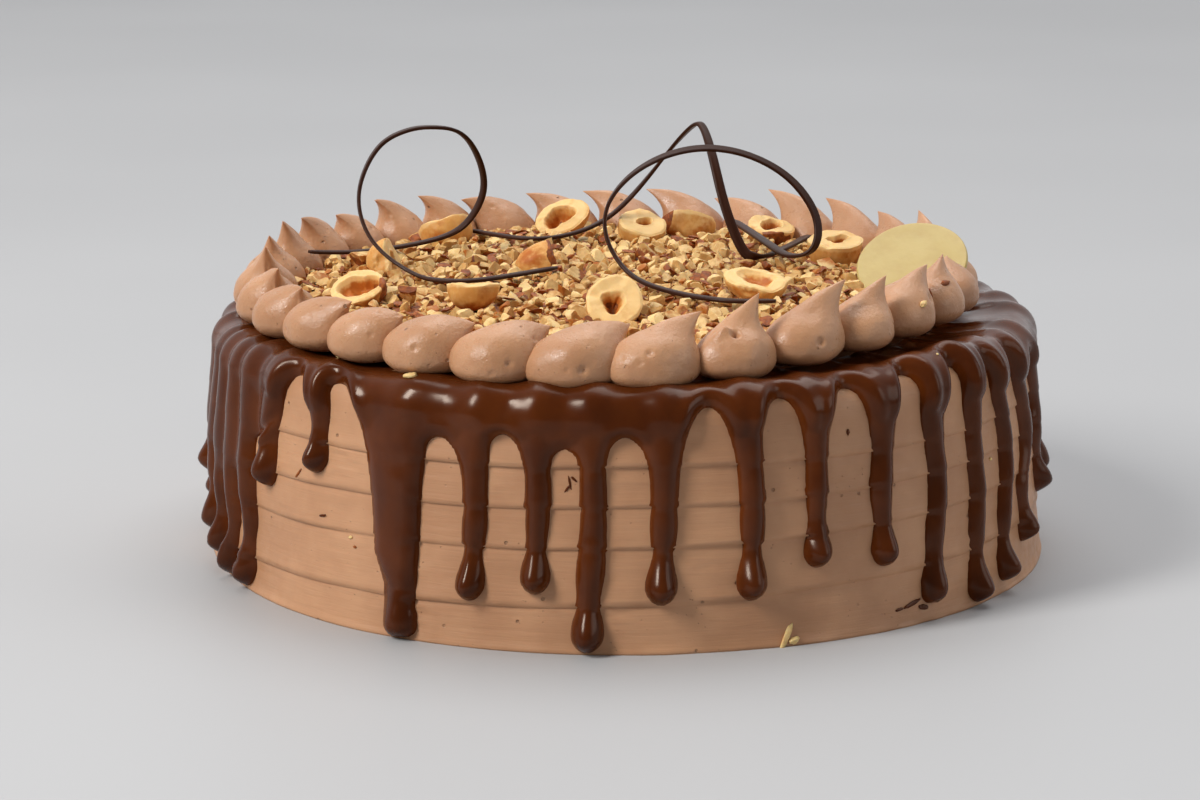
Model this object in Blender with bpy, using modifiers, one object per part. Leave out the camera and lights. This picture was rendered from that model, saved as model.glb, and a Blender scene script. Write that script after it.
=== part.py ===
"""A round chocolate hazelnut cake, 210 mm across its foot.

A frosted cake carries a poured glaze that runs down its side in drips, a ring
of piped dollops, a bed of chopped nuts, halved hazelnuts, three ribbon curls
and a round plaque. Every length is in metres, +Z is up, and the origin is the
centre of the face that the cake rests on. An azimuth is in degrees, counted
counter-clockwise seen from above, from the side that faces -Y.
"""

import math
import random

import bmesh
import bpy
from mathutils import Euler, Matrix, Vector, noise

MM = 0.001
GAP = 0.3 * MM  # air between pieces that touch

# The frosted cake.
FOOT_RADIUS = 105 * MM
SHOULDER_RADIUS = 100 * MM
CAKE_HEIGHT = 57.4 * MM
SHOULDER_ROUND = 6 * MM
LOWEST_LEDGE = 12.5 * MM
LEDGE_PITCH = 10.3 * MM
LEDGE_COUNT = 4
LEDGE_PROUD = 0.5 * MM
LEDGE_STEP = 0.9 * MM
TURNS = 54  # facets round the cake

# The poured glaze.
GLAZE_THICKNESS = 2.0 * MM
GLAZE_SKIRT = 49.0 * MM  # height of the hem between the drips
GLAZE_TOP = CAKE_HEIGHT + GAP + GLAZE_THICKNESS
DRIP_START = 52.5 * MM
DRIP_WIDTH = 6.4 * MM
DRIP_DEPTH = 2.5 * MM

# Azimuth, height of the lower end and width of each drip that the front shows.
FRONT_DRIPS = [
    (-70.5, 10.5, 6.0), (-64.5, 2.5, 7.0), (-58.5, 3.0, 6.0), (-52.8, 28.0, 6.0),
    (-42.8, 34.5, 5.6), (-28.2, 1.0, 12.0), (-18.8, 11.0, 6.2), (-10.5, 13.5, 6.2),
    (-4.0, 1.0, 6.8), (4.8, 11.5, 6.6), (16.0, 11.0, 6.6), (24.8, 17.5, 6.4),
    (34.5, 15.5, 6.6), (42.0, 4.5, 6.0), (51.5, 1.5, 6.6), (59.0, 3.5, 6.0),
    (66.8, 10.0, 5.6), (75.5, 22.0, 5.8),
]
BACK_DRIPS = 22
BACK_FROM, BACK_TO = 84.0, 281.5

# The piped ring.
RING_CENTRE = Vector((-3.6 * MM, -3.5 * MM, 0))
RING_RADIUS = 84.5 * MM
FIRST_BOUNDARY = 1.4  # azimuth at which one dollop ends and the next begins
# How many dollops follow each other at each spacing, in degrees: the hand that piped them was uneven.
DOLLOP_RUNS = [(6, 11.9), (3, 12.7), (8, 11.85), (8, 10.4625), (6, 12.0)]
DOLLOP_CLEAR = 0.82 * MM  # length by which each dollop is shorter than its share of the ring
DOLLOP_WIDTH = 15.2 * MM
DOLLOP_HEIGHT = 11.4 * MM
TIP_LIFT = 9.0 * MM
PRESSED_BY_PLAQUE = (73.4, 109.4)  # azimuths of the dollops that the plaque is pushed into

# The nut bed.
BED_RADIUS = 75.0 * MM
BED_EDGE = 65.6 * MM
BED_CROWN = 2.2 * MM

# Halved hazelnuts: place on the bed, height of the lowest point, length, then
# the direction that the cut face looks (azimuth, elevation).
HAZELNUTS = [
    (-63.5, -31.5, 66.6, 13.6, -35, 60), (-57.0, 8.5, 67.0, 12.0, -80, 15),
    (-47.5, 49.5, 66.9, 13.2, 150, -50), (-34.5, -42.0, 67.5, 13.0, 20, 75),
    (-21.0, 8.5, 68.3, 12.4, 60, 20), (-16.5, 64.5, 67.2, 14.0, 20, 35),
    (-1.8, -55.0, 67.6, 14.6, 8, 48), (5.6, 50.5, 67.4, 13.4, -15, 62),
    (17.0, 63.0, 67.0, 14.2, 30, 70), (32.5, -30.5, 67.8, 14.6, 25, 66),
    (39.5, 53.5, 67.1, 13.2, 10, 72), (54.5, 19.0, 67.2, 13.6, 12, 58),
]

# Routes of the ribbon curls, in millimetres, from one end to the other.
CURL_ROUTES = [
    [(-79.0, 11.0, 70.9), (-65.3, 20.0, 69.4), (-46.2, 29.0, 71.4), (-38.8, 30.0, 76.7),
     (-35.6, 27.0, 85.1), (-41.4, 18.0, 98.7), (-48.0, 14.0, 102.2), (-54.4, 10.0, 101.8),
     (-61.4, 6.0, 98.0), (-65.9, 0.0, 86.9), (-61.8, -6.0, 75.9), (-51.0, -13.0, 69.4),
     (-43.7, -18.0, 68.9), (-34.4, -18.0, 69.0), (-16.4, -4.0, 69.6)],
    [(-40.1, 52.0, 69.6), (-21.8, 39.0, 69.2), (-6.3, 47.0, 71.9), (3.7, 51.0, 80.2),
     (12.7, 46.0, 92.3), (18.5, 38.0, 99.7), (20.9, 34.0, 99.5), (23.2, 26.0, 92.8),
     (26.0, 19.0, 81.5), (30.3, 14.5, 71.0), (33.7, 14.0, 69.1), (38.8, 21.0, 68.9),
     (49.0, 46.0, 69.2)],
    [(29.4, 53.0, 72.1), (33.6, 39.0, 71.4), (37.8, 21.0, 71.1), (42.1, 8.0, 70.4),
     (48.1, 5.0, 72.6), (49.0, 9.0, 80.3), (42.0, 11.0, 90.1), (29.8, 8.0, 96.8),
     (16.8, 2.0, 98.6), (4.4, -7.0, 95.2), (-3.5, -14.0, 87.7), (-4.0, -18.0, 79.4),
     (1.6, -23.0, 71.4), (10.8, -33.0, 69.2), (23.8, -44.0, 68.9), (36.3, -46.0, 69.2)],
]
RIBBON_WIDTH = 2.0 * MM
RIBBON_THICKNESS = 0.9 * MM
RIBBON_TILTS = (0.0, 0.0, 0.0)
STEPS_BETWEEN = 2

# The plaque.
PLAQUE_CENTRE = Vector((71.7 * MM, -6.0 * MM, 71.0 * MM))
PLAQUE_RADIUS = 13.9 * MM
PLAQUE_THICKNESS = 1.5 * MM
PLAQUE_TILT = 36.5
PLAQUE_UPHILL = 20.0  # azimuth, from +Y towards +X, of its highest point
SEAT_DEPTH = 12.0 * MM  # how far above the plaque its seat is cleared

SEED = 11


def clear_scene():
    """Remove everything that the scene holds."""
    for obj in list(bpy.data.objects):
        bpy.data.objects.remove(obj, do_unlink=True)


def new_collection(name):
    """A collection linked to the scene."""
    collection = bpy.data.collections.new(name)
    bpy.context.scene.collection.children.link(collection)
    return collection


def new_material(name, colour, roughness, coat=0.0):
    """A Principled material with one colour."""
    material = bpy.data.materials.new(name)
    material.use_nodes = True
    shader = material.node_tree.nodes["Principled BSDF"]
    shader.inputs["Base Color"].default_value = (*colour, 1)
    shader.inputs["Roughness"].default_value = roughness
    shader.inputs["Coat Weight"].default_value = coat
    material.diffuse_color = (*colour, 1)
    return material


def object_from_bmesh(name, mesh_data, collection, material):
    """An object made from a bmesh, which is freed."""
    bmesh.ops.recalc_face_normals(mesh_data, faces=mesh_data.faces)
    mesh = bpy.data.meshes.new(name)
    mesh_data.to_mesh(mesh)
    mesh_data.free()
    mesh.materials.append(material)
    mesh.shade_smooth()
    mesh.set_sharp_from_angle(angle=math.radians(50))
    obj = bpy.data.objects.new(name, mesh)
    collection.objects.link(obj)
    return obj


def turned(name, profile, collection, material):
    """Turn a profile of (radius, height) points, top to bottom, about Z."""
    mesh = bpy.data.meshes.new(name)
    points = [(radius, 0, height) for radius, height in profile]
    mesh.from_pydata(points, [(i, i + 1) for i in range(len(points) - 1)], [])
    mesh.materials.append(material)
    obj = bpy.data.objects.new(name, mesh)
    collection.objects.link(obj)
    screw = obj.modifiers.new("turn", "SCREW")
    screw.steps = screw.render_steps = TURNS
    screw.use_merge_vertices = True
    screw.merge_threshold = 0.0001
    screw.use_smooth_shade = True
    return obj


def arc(centre_radius, centre_height, radius, steps):
    """Points of a quarter round, from straight up to straight out."""
    angles = [math.pi / 2 * (1 - step / steps) for step in range(steps + 1)]
    return [(centre_radius + radius * math.cos(a), centre_height + radius * math.sin(a)) for a in angles]


def side_radius(height):
    """Radius of the frosted side, which leans in a little towards the top."""
    return FOOT_RADIUS + (SHOULDER_RADIUS - FOOT_RADIUS) * height / CAKE_HEIGHT


def round_about_z(azimuth, radius, height, centre=Vector()):
    """The point at an azimuth, a radius and a height about a centre."""
    angle = math.radians(azimuth)
    return centre + Vector((radius * math.sin(angle), -radius * math.cos(angle), height))


def build_cake(collection, material):
    """The frosted cake: a turned side of lapped bands under a rounded shoulder."""
    profile = [(0, CAKE_HEIGHT)]
    profile += arc(SHOULDER_RADIUS - SHOULDER_ROUND, CAKE_HEIGHT - SHOULDER_ROUND, SHOULDER_ROUND, 3)
    for ledge in reversed(range(LEDGE_COUNT)):
        height = LOWEST_LEDGE + LEDGE_PITCH * ledge
        profile.append((side_radius(height) + LEDGE_PROUD, height))
        profile.append((side_radius(height), height - LEDGE_STEP))
    profile += [(FOOT_RADIUS, 0), (0, 0)]
    return turned("cake_body", profile, collection, material)


def drip_row(share, width, depth):
    """Half width and depth of a drip at a share of its length: flare, stem, neck and bulb."""
    flare = 0.9 * math.exp(-((share / 0.16) ** 2))
    bulb = 0.22 * math.exp(-(((share - 0.9) / 0.08) ** 2))
    neck = -0.12 * math.exp(-(((share - 0.74) / 0.1) ** 2))
    slimmer = 1.0 - 0.3 * min(1.0, max(0.0, width / DRIP_WIDTH - 1.2)) * share
    half_width = width / 2 * (0.92 + flare + neck + bulb) * slimmer
    return half_width, depth * (0.92 + bulb + neck)


def build_drip(azimuth, end_height, width, collection, material):
    """One drip: a stretched ball, flat at its back, laid against the side of the cake."""
    shares = [0.0, 0.07, 0.4, 0.82, 0.96, 1.0]
    rows = len(shares) - 1
    mesh = bmesh.new()
    bmesh.ops.create_uvsphere(mesh, u_segments=6, v_segments=rows, radius=1.0)
    back = LEDGE_PROUD + GAP + 0.2 * MM
    for vertex in mesh.verts:
        row = round(math.acos(max(-1.0, min(1.0, vertex.co.z))) / math.pi * rows)
        around = math.atan2(vertex.co.y, vertex.co.x)
        share = shares[row]
        half_width, depth = drip_row(share, width, DRIP_DEPTH)
        if row in (0, rows):
            half_width = 0.0
            depth *= 0.3
        elif share > 0.95:
            half_width *= 0.62
            depth *= 0.8
        out = back + depth * max(0.0, math.sin(around)) if row not in (0, rows) else back + depth
        height = DRIP_START + (end_height - DRIP_START) * share
        radius = side_radius(height) + out
        across = half_width * math.cos(around)
        vertex.co = round_about_z(azimuth + math.degrees(across / radius), radius, height)
    return object_from_bmesh("drip", mesh, collection, material)


def build_glaze(collection, cutters, material):
    """The poured glaze: a turned cap over the shoulder, joined with its drips."""
    inner_round = SHOULDER_ROUND + GAP
    centre_radius = SHOULDER_RADIUS - SHOULDER_ROUND
    centre_height = CAKE_HEIGHT - SHOULDER_ROUND
    skirt_radius = side_radius(GLAZE_SKIRT) + LEDGE_PROUD + GAP
    profile = [(0, GLAZE_TOP)]
    profile += arc(centre_radius, centre_height, inner_round + GLAZE_THICKNESS, 3)
    profile.append((skirt_radius + GLAZE_THICKNESS, GLAZE_SKIRT + 1.2 * MM))
    profile.append((skirt_radius + 0.5 * GLAZE_THICKNESS, GLAZE_SKIRT))
    profile.append((skirt_radius, GLAZE_SKIRT + 0.8 * MM))
    profile += reversed(arc(centre_radius, centre_height, inner_round, 3))
    profile.append((0, CAKE_HEIGHT + GAP))
    glaze = turned("ganache", profile, collection, material)

    rng = random.Random(SEED)
    drips = [(azimuth, height * MM, width * MM) for azimuth, height, width in FRONT_DRIPS]
    pitch = (BACK_TO - BACK_FROM) / BACK_DRIPS
    for index in range(BACK_DRIPS):
        azimuth = BACK_FROM + pitch * (index + 0.5) + rng.uniform(-1.0, 1.0)
        drips.append((azimuth, rng.uniform(3, 30) * MM, rng.uniform(5.8, 7.0) * MM))
    runs = bpy.data.collections.new("glaze runs")
    cutters.children.link(runs)
    for azimuth, height, width in drips:
        drip = build_drip(azimuth, height, width, runs, material)
        drip.hide_render = True
        drip.display_type = "WIRE"
    union = glaze.modifiers.new("drips", "BOOLEAN")
    union.operation = "UNION"
    union.operand_type = "COLLECTION"
    union.collection = runs
    union.solver = "EXACT"
    return glaze


def dollop_point(unit, length, width, height, lift):
    """Map a point of a unit ball onto a dollop: along its pull, across it, and up."""
    along, across, up = unit
    pull = max(0.0, along) ** 2.2
    centre = 0.48 * height
    reach = 0.52 * height if up > 0 else centre * 1.25
    rise = lift * pull * min(1.0, max(0.0, up + 0.45))
    narrow = 1.0 - 0.7 * pull
    return Vector((
        (along * 0.5 - 0.02) * length,
        across * 0.5 * width * narrow,
        max(0.0, centre + up * reach + rise),
    ))


def build_dollops(collection, material):
    """The piped ring, each dollop in its own share of the circle."""
    rng = random.Random(SEED + 1)
    under_plaque = []
    boundary = FIRST_BOUNDARY
    for index, pitch in enumerate(pitch for count, pitch in DOLLOP_RUNS for _ in range(count)):
        azimuth = boundary + pitch / 2
        boundary += pitch
        length = math.radians(pitch) * RING_RADIUS - DOLLOP_CLEAR
        pressed = PRESSED_BY_PLAQUE[0] < azimuth % 360 < PRESSED_BY_PLAQUE[1]
        height = DOLLOP_HEIGHT * (0.86 if pressed else rng.uniform(0.97, 1.03))
        lift = 1.5 * MM if pressed else TIP_LIFT * rng.uniform(0.85, 1.08)
        mesh = bmesh.new()
        bmesh.ops.create_uvsphere(mesh, u_segments=8, v_segments=6, radius=1.0)
        bmesh.ops.rotate(mesh, verts=mesh.verts, matrix=Matrix.Rotation(math.pi / 2, 3, "Y"))
        for vertex in mesh.verts:
            vertex.co = dollop_point(vertex.co, length, DOLLOP_WIDTH, height, lift)
        dollop = object_from_bmesh(f"dollop_{index + 1:02d}", mesh, collection, material)
        dollop.location = round_about_z(azimuth, RING_RADIUS, GLAZE_TOP + GAP, RING_CENTRE)
        dollop.rotation_euler = (0, 0, math.radians(azimuth))
        if pressed:
            under_plaque.append(dollop)
    return under_plaque


def bed_height(x, y):
    """Height of the nut bed's uneven top."""
    share = math.hypot(x, y) / BED_RADIUS
    crown = BED_CROWN * (1 - share**2)
    return BED_EDGE + crown + 0.35 * MM * noise.noise(Vector((x, y, 0.0)) * 90.0)


def build_nut_bed(collection, material):
    """The bed of chopped nuts, one solid out to its uneven outline."""
    mesh = bmesh.new()
    bmesh.ops.create_cone(mesh, cap_ends=True, segments=32, radius1=BED_RADIUS, radius2=BED_RADIUS, depth=1.0)
    top = [face for face in mesh.faces if face.normal.z > 0.9]
    bottom = GLAZE_TOP + GAP
    for share in (0.28, 0.3, 0.4):
        bmesh.ops.inset_region(mesh, faces=top, thickness=share * BED_RADIUS * 0.75)
    for vertex in mesh.verts:
        x, y = vertex.co.x, vertex.co.y
        upper = vertex.co.z > 0
        uneven = 1.0 + 0.012 * noise.noise(Vector((x, y, 3.0)) * 60.0)
        vertex.co = Vector((x * uneven, y * uneven, bed_height(x, y) if upper else bottom))
    bed = object_from_bmesh("nut_bed", mesh, collection, material)
    bed.location = RING_CENTRE
    return bed


def build_hazelnuts(collection, material):
    """Halved hazelnuts, each with a shallow hollow in its cut face."""
    for index, (x, y, lowest, length, azimuth, elevation) in enumerate(HAZELNUTS):
        radius = length / 2 * MM
        mesh = bmesh.new()
        bmesh.ops.create_uvsphere(mesh, u_segments=8, v_segments=6, radius=1.0)
        for vertex in mesh.verts:
            across = math.hypot(vertex.co.x, vertex.co.y)
            if vertex.co.z > 0.01:
                vertex.co.z = -0.28 * (1 - across**4)
            vertex.co *= radius
            vertex.co.x *= 1.06
            vertex.co.y *= 0.94
        looks = Euler((math.radians(90 - elevation), 0, math.radians(azimuth)))
        nut = object_from_bmesh(f"hazelnut_{index + 1:02d}", mesh, collection, material)
        turn = looks.to_matrix()
        below = min((turn @ vertex.co).z for vertex in nut.data.vertices)
        nut.location = (x * MM, y * MM, lowest * MM + GAP - below)
        nut.rotation_euler = looks


def smooth_route(points, between):
    """Points of a Catmull-Rom curve through the route's own points."""
    route = [Vector(point) * MM for point in points]
    route = [2 * route[0] - route[1], *route, 2 * route[-1] - route[-2]]
    smooth = []
    for a, b, c, d in zip(route, route[1:], route[2:], route[3:]):
        for step in range(between):
            t = step / between
            smooth.append(0.5 * (2 * b + (c - a) * t + (2 * a - 5 * b + 4 * c - d) * t**2
                                 + (3 * b - 3 * c + d - a) * t**3))
    smooth.append(route[-2])
    return smooth


def build_curls(collection, material):
    """Three ribbon curls that stand on the nuts."""
    for index, route in enumerate(CURL_ROUTES):
        points = smooth_route(route, STEPS_BETWEEN)
        curve = bpy.data.curves.new(f"curl_{index + 1}", "CURVE")
        curve.dimensions = "3D"
        curve.twist_mode = "MINIMUM"
        spline = curve.splines.new("POLY")
        spline.points.add(len(points) - 1)
        for spot, point in zip(spline.points, points):
            spot.co = (*point, 1)
            spot.tilt = math.radians(RIBBON_TILTS[index])
        curve.extrude = (RIBBON_WIDTH - RIBBON_THICKNESS) / 2
        curve.bevel_depth = RIBBON_THICKNESS / 2
        curve.bevel_resolution = 0
        curve.use_fill_caps = True
        curve.materials.append(material)
        collection.objects.link(bpy.data.objects.new(f"curl_{index + 1}", curve))


def build_disc(name, radius, lowest, highest, collection, material):
    """A disc about the plaque's own axis, between two heights above its middle."""
    mesh = bmesh.new()
    middle = Matrix.Translation((0, 0, (lowest + highest) / 2))
    bmesh.ops.create_cone(
        mesh, cap_ends=True, segments=28, radius1=radius, radius2=radius, depth=highest - lowest, matrix=middle
    )
    disc = object_from_bmesh(name, mesh, collection, material)
    disc.location = PLAQUE_CENTRE
    disc.rotation_euler = (math.radians(PLAQUE_TILT), 0, -math.radians(PLAQUE_UPHILL))
    return disc


def build_plaque(collection, cutters, material):
    """The bare round plaque, pushed into the nuts and leaning on the dollops behind."""
    half = PLAQUE_THICKNESS / 2
    plaque = build_disc("plaque", PLAQUE_RADIUS, -half, half, collection, material)
    bevel = plaque.modifiers.new("rounded edge", "BEVEL")
    bevel.width = 0.4 * MM
    bevel.segments = 1
    seat = build_disc("plaque_seat", PLAQUE_RADIUS + GAP, -half - GAP, SEAT_DEPTH, cutters, material)
    seat.hide_render = True
    seat.display_type = "WIRE"
    return seat


def cut_seat(pieces, seat):
    """Clear the plaque's seat out of the pieces that it is pushed into."""
    for piece in pieces:
        cut = piece.modifiers.new("seat", "BOOLEAN")
        cut.operation = "DIFFERENCE"
        cut.object = seat
        cut.solver = "EXACT"


def main():
    """Build every piece of the cake."""
    clear_scene()
    pieces = new_collection("chocolate_hazelnut_cake")
    cutters = new_collection("cutters")
    cutters.hide_render = True
    frosting = new_material("chocolate buttercream", (0.44, 0.27, 0.17), 0.5)
    glaze = new_material("dark glaze", (0.05, 0.018, 0.008), 0.15, coat=0.6)
    nuts = new_material("chopped hazelnut", (0.72, 0.52, 0.27), 0.6)
    ribbon = new_material("dark chocolate ribbon", (0.045, 0.02, 0.013), 0.3)
    white = new_material("white chocolate", (0.82, 0.68, 0.34), 0.35)
    build_cake(pieces, frosting)
    build_glaze(pieces, cutters, glaze)
    under_plaque = build_dollops(pieces, frosting)
    bed = build_nut_bed(pieces, nuts)
    build_hazelnuts(pieces, nuts)
    build_curls(pieces, ribbon)
    seat = build_plaque(pieces, cutters, white)
    cut_seat([bed, *under_plaque], seat)


main()
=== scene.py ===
"""The looks of a round chocolate hazelnut cake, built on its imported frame.

A frosted cake, smoothed in lapped bands, carries a poured dark glaze that runs
down its side, a ring of piped dollops, chopped nuts, halved hazelnuts, ribbon
curls and a bare round plaque.

Sizes here are in millimetres and become metres as points are written to a mesh.
An azimuth is in degrees, counted counter-clockwise seen from above, from the
side that faces -Y, where the camera stands.
"""

import itertools
import logging
import math
from contextlib import contextmanager
from dataclasses import dataclass
from enum import Enum
from typing import Callable, Iterator

import bpy
import numpy as np
from mathutils import Euler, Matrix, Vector
from mathutils.kdtree import KDTree


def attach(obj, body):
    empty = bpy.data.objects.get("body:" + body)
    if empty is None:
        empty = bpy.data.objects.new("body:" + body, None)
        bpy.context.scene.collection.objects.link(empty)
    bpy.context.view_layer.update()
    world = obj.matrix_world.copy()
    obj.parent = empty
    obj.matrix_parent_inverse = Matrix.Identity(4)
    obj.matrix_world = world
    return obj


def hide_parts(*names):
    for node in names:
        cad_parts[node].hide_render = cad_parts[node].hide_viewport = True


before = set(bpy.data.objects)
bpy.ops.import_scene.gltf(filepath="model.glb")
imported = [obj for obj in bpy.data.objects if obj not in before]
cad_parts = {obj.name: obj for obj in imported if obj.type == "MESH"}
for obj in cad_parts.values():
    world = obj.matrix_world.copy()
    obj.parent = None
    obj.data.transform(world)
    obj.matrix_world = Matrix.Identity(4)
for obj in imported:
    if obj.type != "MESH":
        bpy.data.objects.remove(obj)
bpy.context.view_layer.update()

MM = 0.001
BODY = "root"
TURN = 360.0

Colour = tuple[float, float, float]
Points = np.ndarray  # rows of x, y, z
Values = np.ndarray  # one number for each point
Measure = Values | float
Piece = bpy.types.Object
Material = bpy.types.Material
Socket = bpy.types.NodeSocket
Source = Socket | float | Colour
Rng = np.random.Generator
Shape = tuple[Points, list[tuple[int, ...]]]  # points and faces

log = logging.getLogger("cake")


# Small tools

def deselect_all() -> None:
    """Deselect every object, so that an operator acts only on what comes next."""
    bpy.ops.object.select_all(action="DESELECT")


def add_primitive(name: str, add: Callable, **settings: float) -> Piece:
    """Start a piece from a primitive.

    Args:
        name: The piece's name.
        add: The operator that adds the primitive.
        **settings: What the operator is given.

    Returns:
        The new object, active and alone in the selection.
    """
    deselect_all()
    add(**settings)
    piece = bpy.context.view_layer.objects.active
    piece.name = piece.data.name = name
    return piece


def make_active(piece: Piece) -> None:
    """Select one object alone and make it the active one.

    Args:
        piece: The object.
    """
    deselect_all()
    piece.select_set(True)
    bpy.context.view_layer.objects.active = piece


@contextmanager
def edit_mode(action: str = "SELECT") -> Iterator[None]:
    """Work in edit mode on the active mesh.

    Args:
        action: What select_all does first, or "KEEP" to leave the selection.

    Yields:
        Nothing, while edit mode lasts.
    """
    bpy.ops.object.mode_set(mode="EDIT")
    bpy.ops.mesh.select_mode(type="VERT")
    if action != "KEEP":
        bpy.ops.mesh.select_all(action=action)
    yield
    bpy.ops.object.mode_set(mode="OBJECT")


def choose(piece: Piece, mask: Values) -> None:
    """Select some vertices of a mesh, and nothing else, in object mode.

    Args:
        piece: The mesh object.
        mask: True for each vertex to select.
    """
    mesh = piece.data
    mesh.polygons.foreach_set("select", np.zeros(len(mesh.polygons), bool))
    mesh.edges.foreach_set("select", np.zeros(len(mesh.edges), bool))
    mesh.vertices.foreach_set("select", mask)


def read_points(piece: Piece) -> Points:
    """Read a mesh's vertices.

    Args:
        piece: The mesh object.

    Returns:
        Rows of x, y, z in millimetres.
    """
    flat = np.empty(len(piece.data.vertices) * 3, np.float64)
    piece.data.vertices.foreach_get("co", flat)
    return flat.reshape(-1, 3) / MM


def write_points(piece: Piece, points: Points) -> None:
    """Move the mesh's vertices to rows of x, y, z given in millimetres."""
    piece.data.vertices.foreach_set("co", (points * MM).ravel())
    piece.data.update()


def mark(piece: Piece, name: str, values: Values) -> None:
    """Store one number for each vertex as an attribute that a material can read."""
    layer = piece.data.attributes.get(name) or piece.data.attributes.new(name, "FLOAT", "POINT")
    layer.data.foreach_set("value", np.asarray(values, np.float32))


def apply_modifier(piece: Piece, kind: str, **settings: float) -> None:
    """Add a modifier to a piece, set it and apply it.

    Args:
        piece: The mesh object to change.
        kind: The modifier's type, such as "SOLIDIFY".
        **settings: Its properties.
    """
    make_active(piece)
    modifier = piece.modifiers.new(kind.lower(), kind)
    for name, value in settings.items():
        setattr(modifier, name, value)
    bpy.ops.object.modifier_apply(modifier=modifier.name)


def close_and_turn_out(piece: Piece, distance: float = 0.002) -> None:
    """Merge coincident vertices and point the faces outwards.

    Args:
        piece: The mesh object.
        distance: How near two vertices have to be, in millimetres.
    """
    make_active(piece)
    with edit_mode():
        bpy.ops.mesh.remove_doubles(threshold=distance * MM)
        bpy.ops.mesh.normals_make_consistent(inside=False)


def ring_piece(name: str, rings: Points, marks: dict[str, Values] | None = None) -> Piece:
    """Make a closed piece from rings of points, laid on a grid.

    Args:
        name: The piece's name.
        rings: Points by ring and by place in the ring, where the last place repeats the first one
            and a ring may shrink to a single point.
        marks: Numbers to store for each of those points, by attribute name.

    Returns:
        The piece, with its seam and its poles merged and its faces turned outwards.
    """
    rows, columns = rings.shape[:2]
    grid = {"x_subdivisions": columns - 1, "y_subdivisions": rows - 1, "size": 1.0}
    piece = add_primitive(name, bpy.ops.mesh.primitive_grid_add, **grid)
    write_points(piece, rings.reshape(-1, 3))
    for mark_name, values in (marks or {}).items():
        mark(piece, mark_name, values)
    close_and_turn_out(piece)
    return piece


def finish_piece(
    piece: Piece, material: Material, slot: str, nodes: tuple[str, ...] = (), smooth: bool = True
) -> Piece:
    """Dress a piece, let it ride on the cake, and hide the CAD nodes that it stands for.

    Args:
        piece: The finished mesh object, which sits at the origin.
        material: Its finish.
        slot: The name of a material slot; not used.
        nodes: The CAD nodes that it replaces.
        smooth: Whether it is shaded smooth all over.

    Returns:
        The same object.
    """
    piece.data.materials.clear()
    piece.data.materials.append(material)
    if smooth:
        piece.data.shade_smooth()
    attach(piece, BODY)
    if nodes:
        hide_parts(*nodes)
    log.info("%s: %d faces", piece.name, len(piece.data.polygons))
    return piece


def ease(values: Measure) -> Measure:
    """Smooth step of values that are first clipped to 0 and 1."""
    clipped = np.clip(values, 0.0, 1.0)
    return clipped * clipped * (3.0 - 2.0 * clipped)


def bell(values: Measure, width: float) -> Measure:
    """A bell curve of the given half width, 1 at zero."""
    return np.exp(-((np.asarray(values) / width) ** 2))


def unit(vectors: Points) -> Points:
    """Scale one vector, or every row of vectors, to a length of one."""
    return vectors / np.linalg.norm(vectors, axis=-1, keepdims=True)


def from_centre(azimuth: Measure, centre: Measure = 0.0) -> Measure:
    """Azimuths counted from a centre, between -180 and 180."""
    return (azimuth - centre + 180.0) % TURN - 180.0


# Factors that scatter the corners of the noise's lattice over 32 bits, of which 16 give the value.
LATTICE_STEPS = np.array([73856093, 19349663, 83492791], np.int64)
SEED_STEP = 7919
HASH_FACTOR = 2654435761
HASH_BITS = 0xFFFFFFFF
VALUE_BITS = 0xFFFF


def noise(points: Points, seed: int = 0) -> Values:
    """Smooth noise with cells one unit wide.

    Args:
        points: Where it is wanted, in two or three dimensions.
        seed: Which of many noises.

    Returns:
        A value from -1 to 1 for each row of points.
    """
    cell = np.floor(points).astype(np.int64)
    blend = ease(points - cell)
    total = np.zeros(len(points))
    for corner in itertools.product((0, 1), repeat=points.shape[1]):
        spot = ((cell + corner) * LATTICE_STEPS[: points.shape[1]]).sum(1) + seed * SEED_STEP
        spot = (spot * HASH_FACTOR) & HASH_BITS
        spot = ((spot >> 15) ^ spot) * HASH_FACTOR & HASH_BITS
        value = ((spot >> 8) & VALUE_BITS) / (VALUE_BITS / 2) - 1.0
        total += value * np.prod(np.where(corner, blend, 1.0 - blend), axis=1)
    return total


def layered_noise(points: Points, layers: int, seed: int = 0) -> Values:
    """Noise summed over layers, each twice as fine and half as strong as the one before."""
    return sum(noise(points * 2.0**layer, seed + layer) / 2.0**layer for layer in range(layers))


def round_z(azimuth: Measure, radius: Measure, height: Measure) -> Points:
    """Rows of x, y, z at azimuths, radii and heights about the cake's axis."""
    angle = np.radians(azimuth)
    return np.stack(np.broadcast_arrays(radius * np.sin(angle), -radius * np.cos(angle), height), axis=-1)


# Finishes

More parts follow.
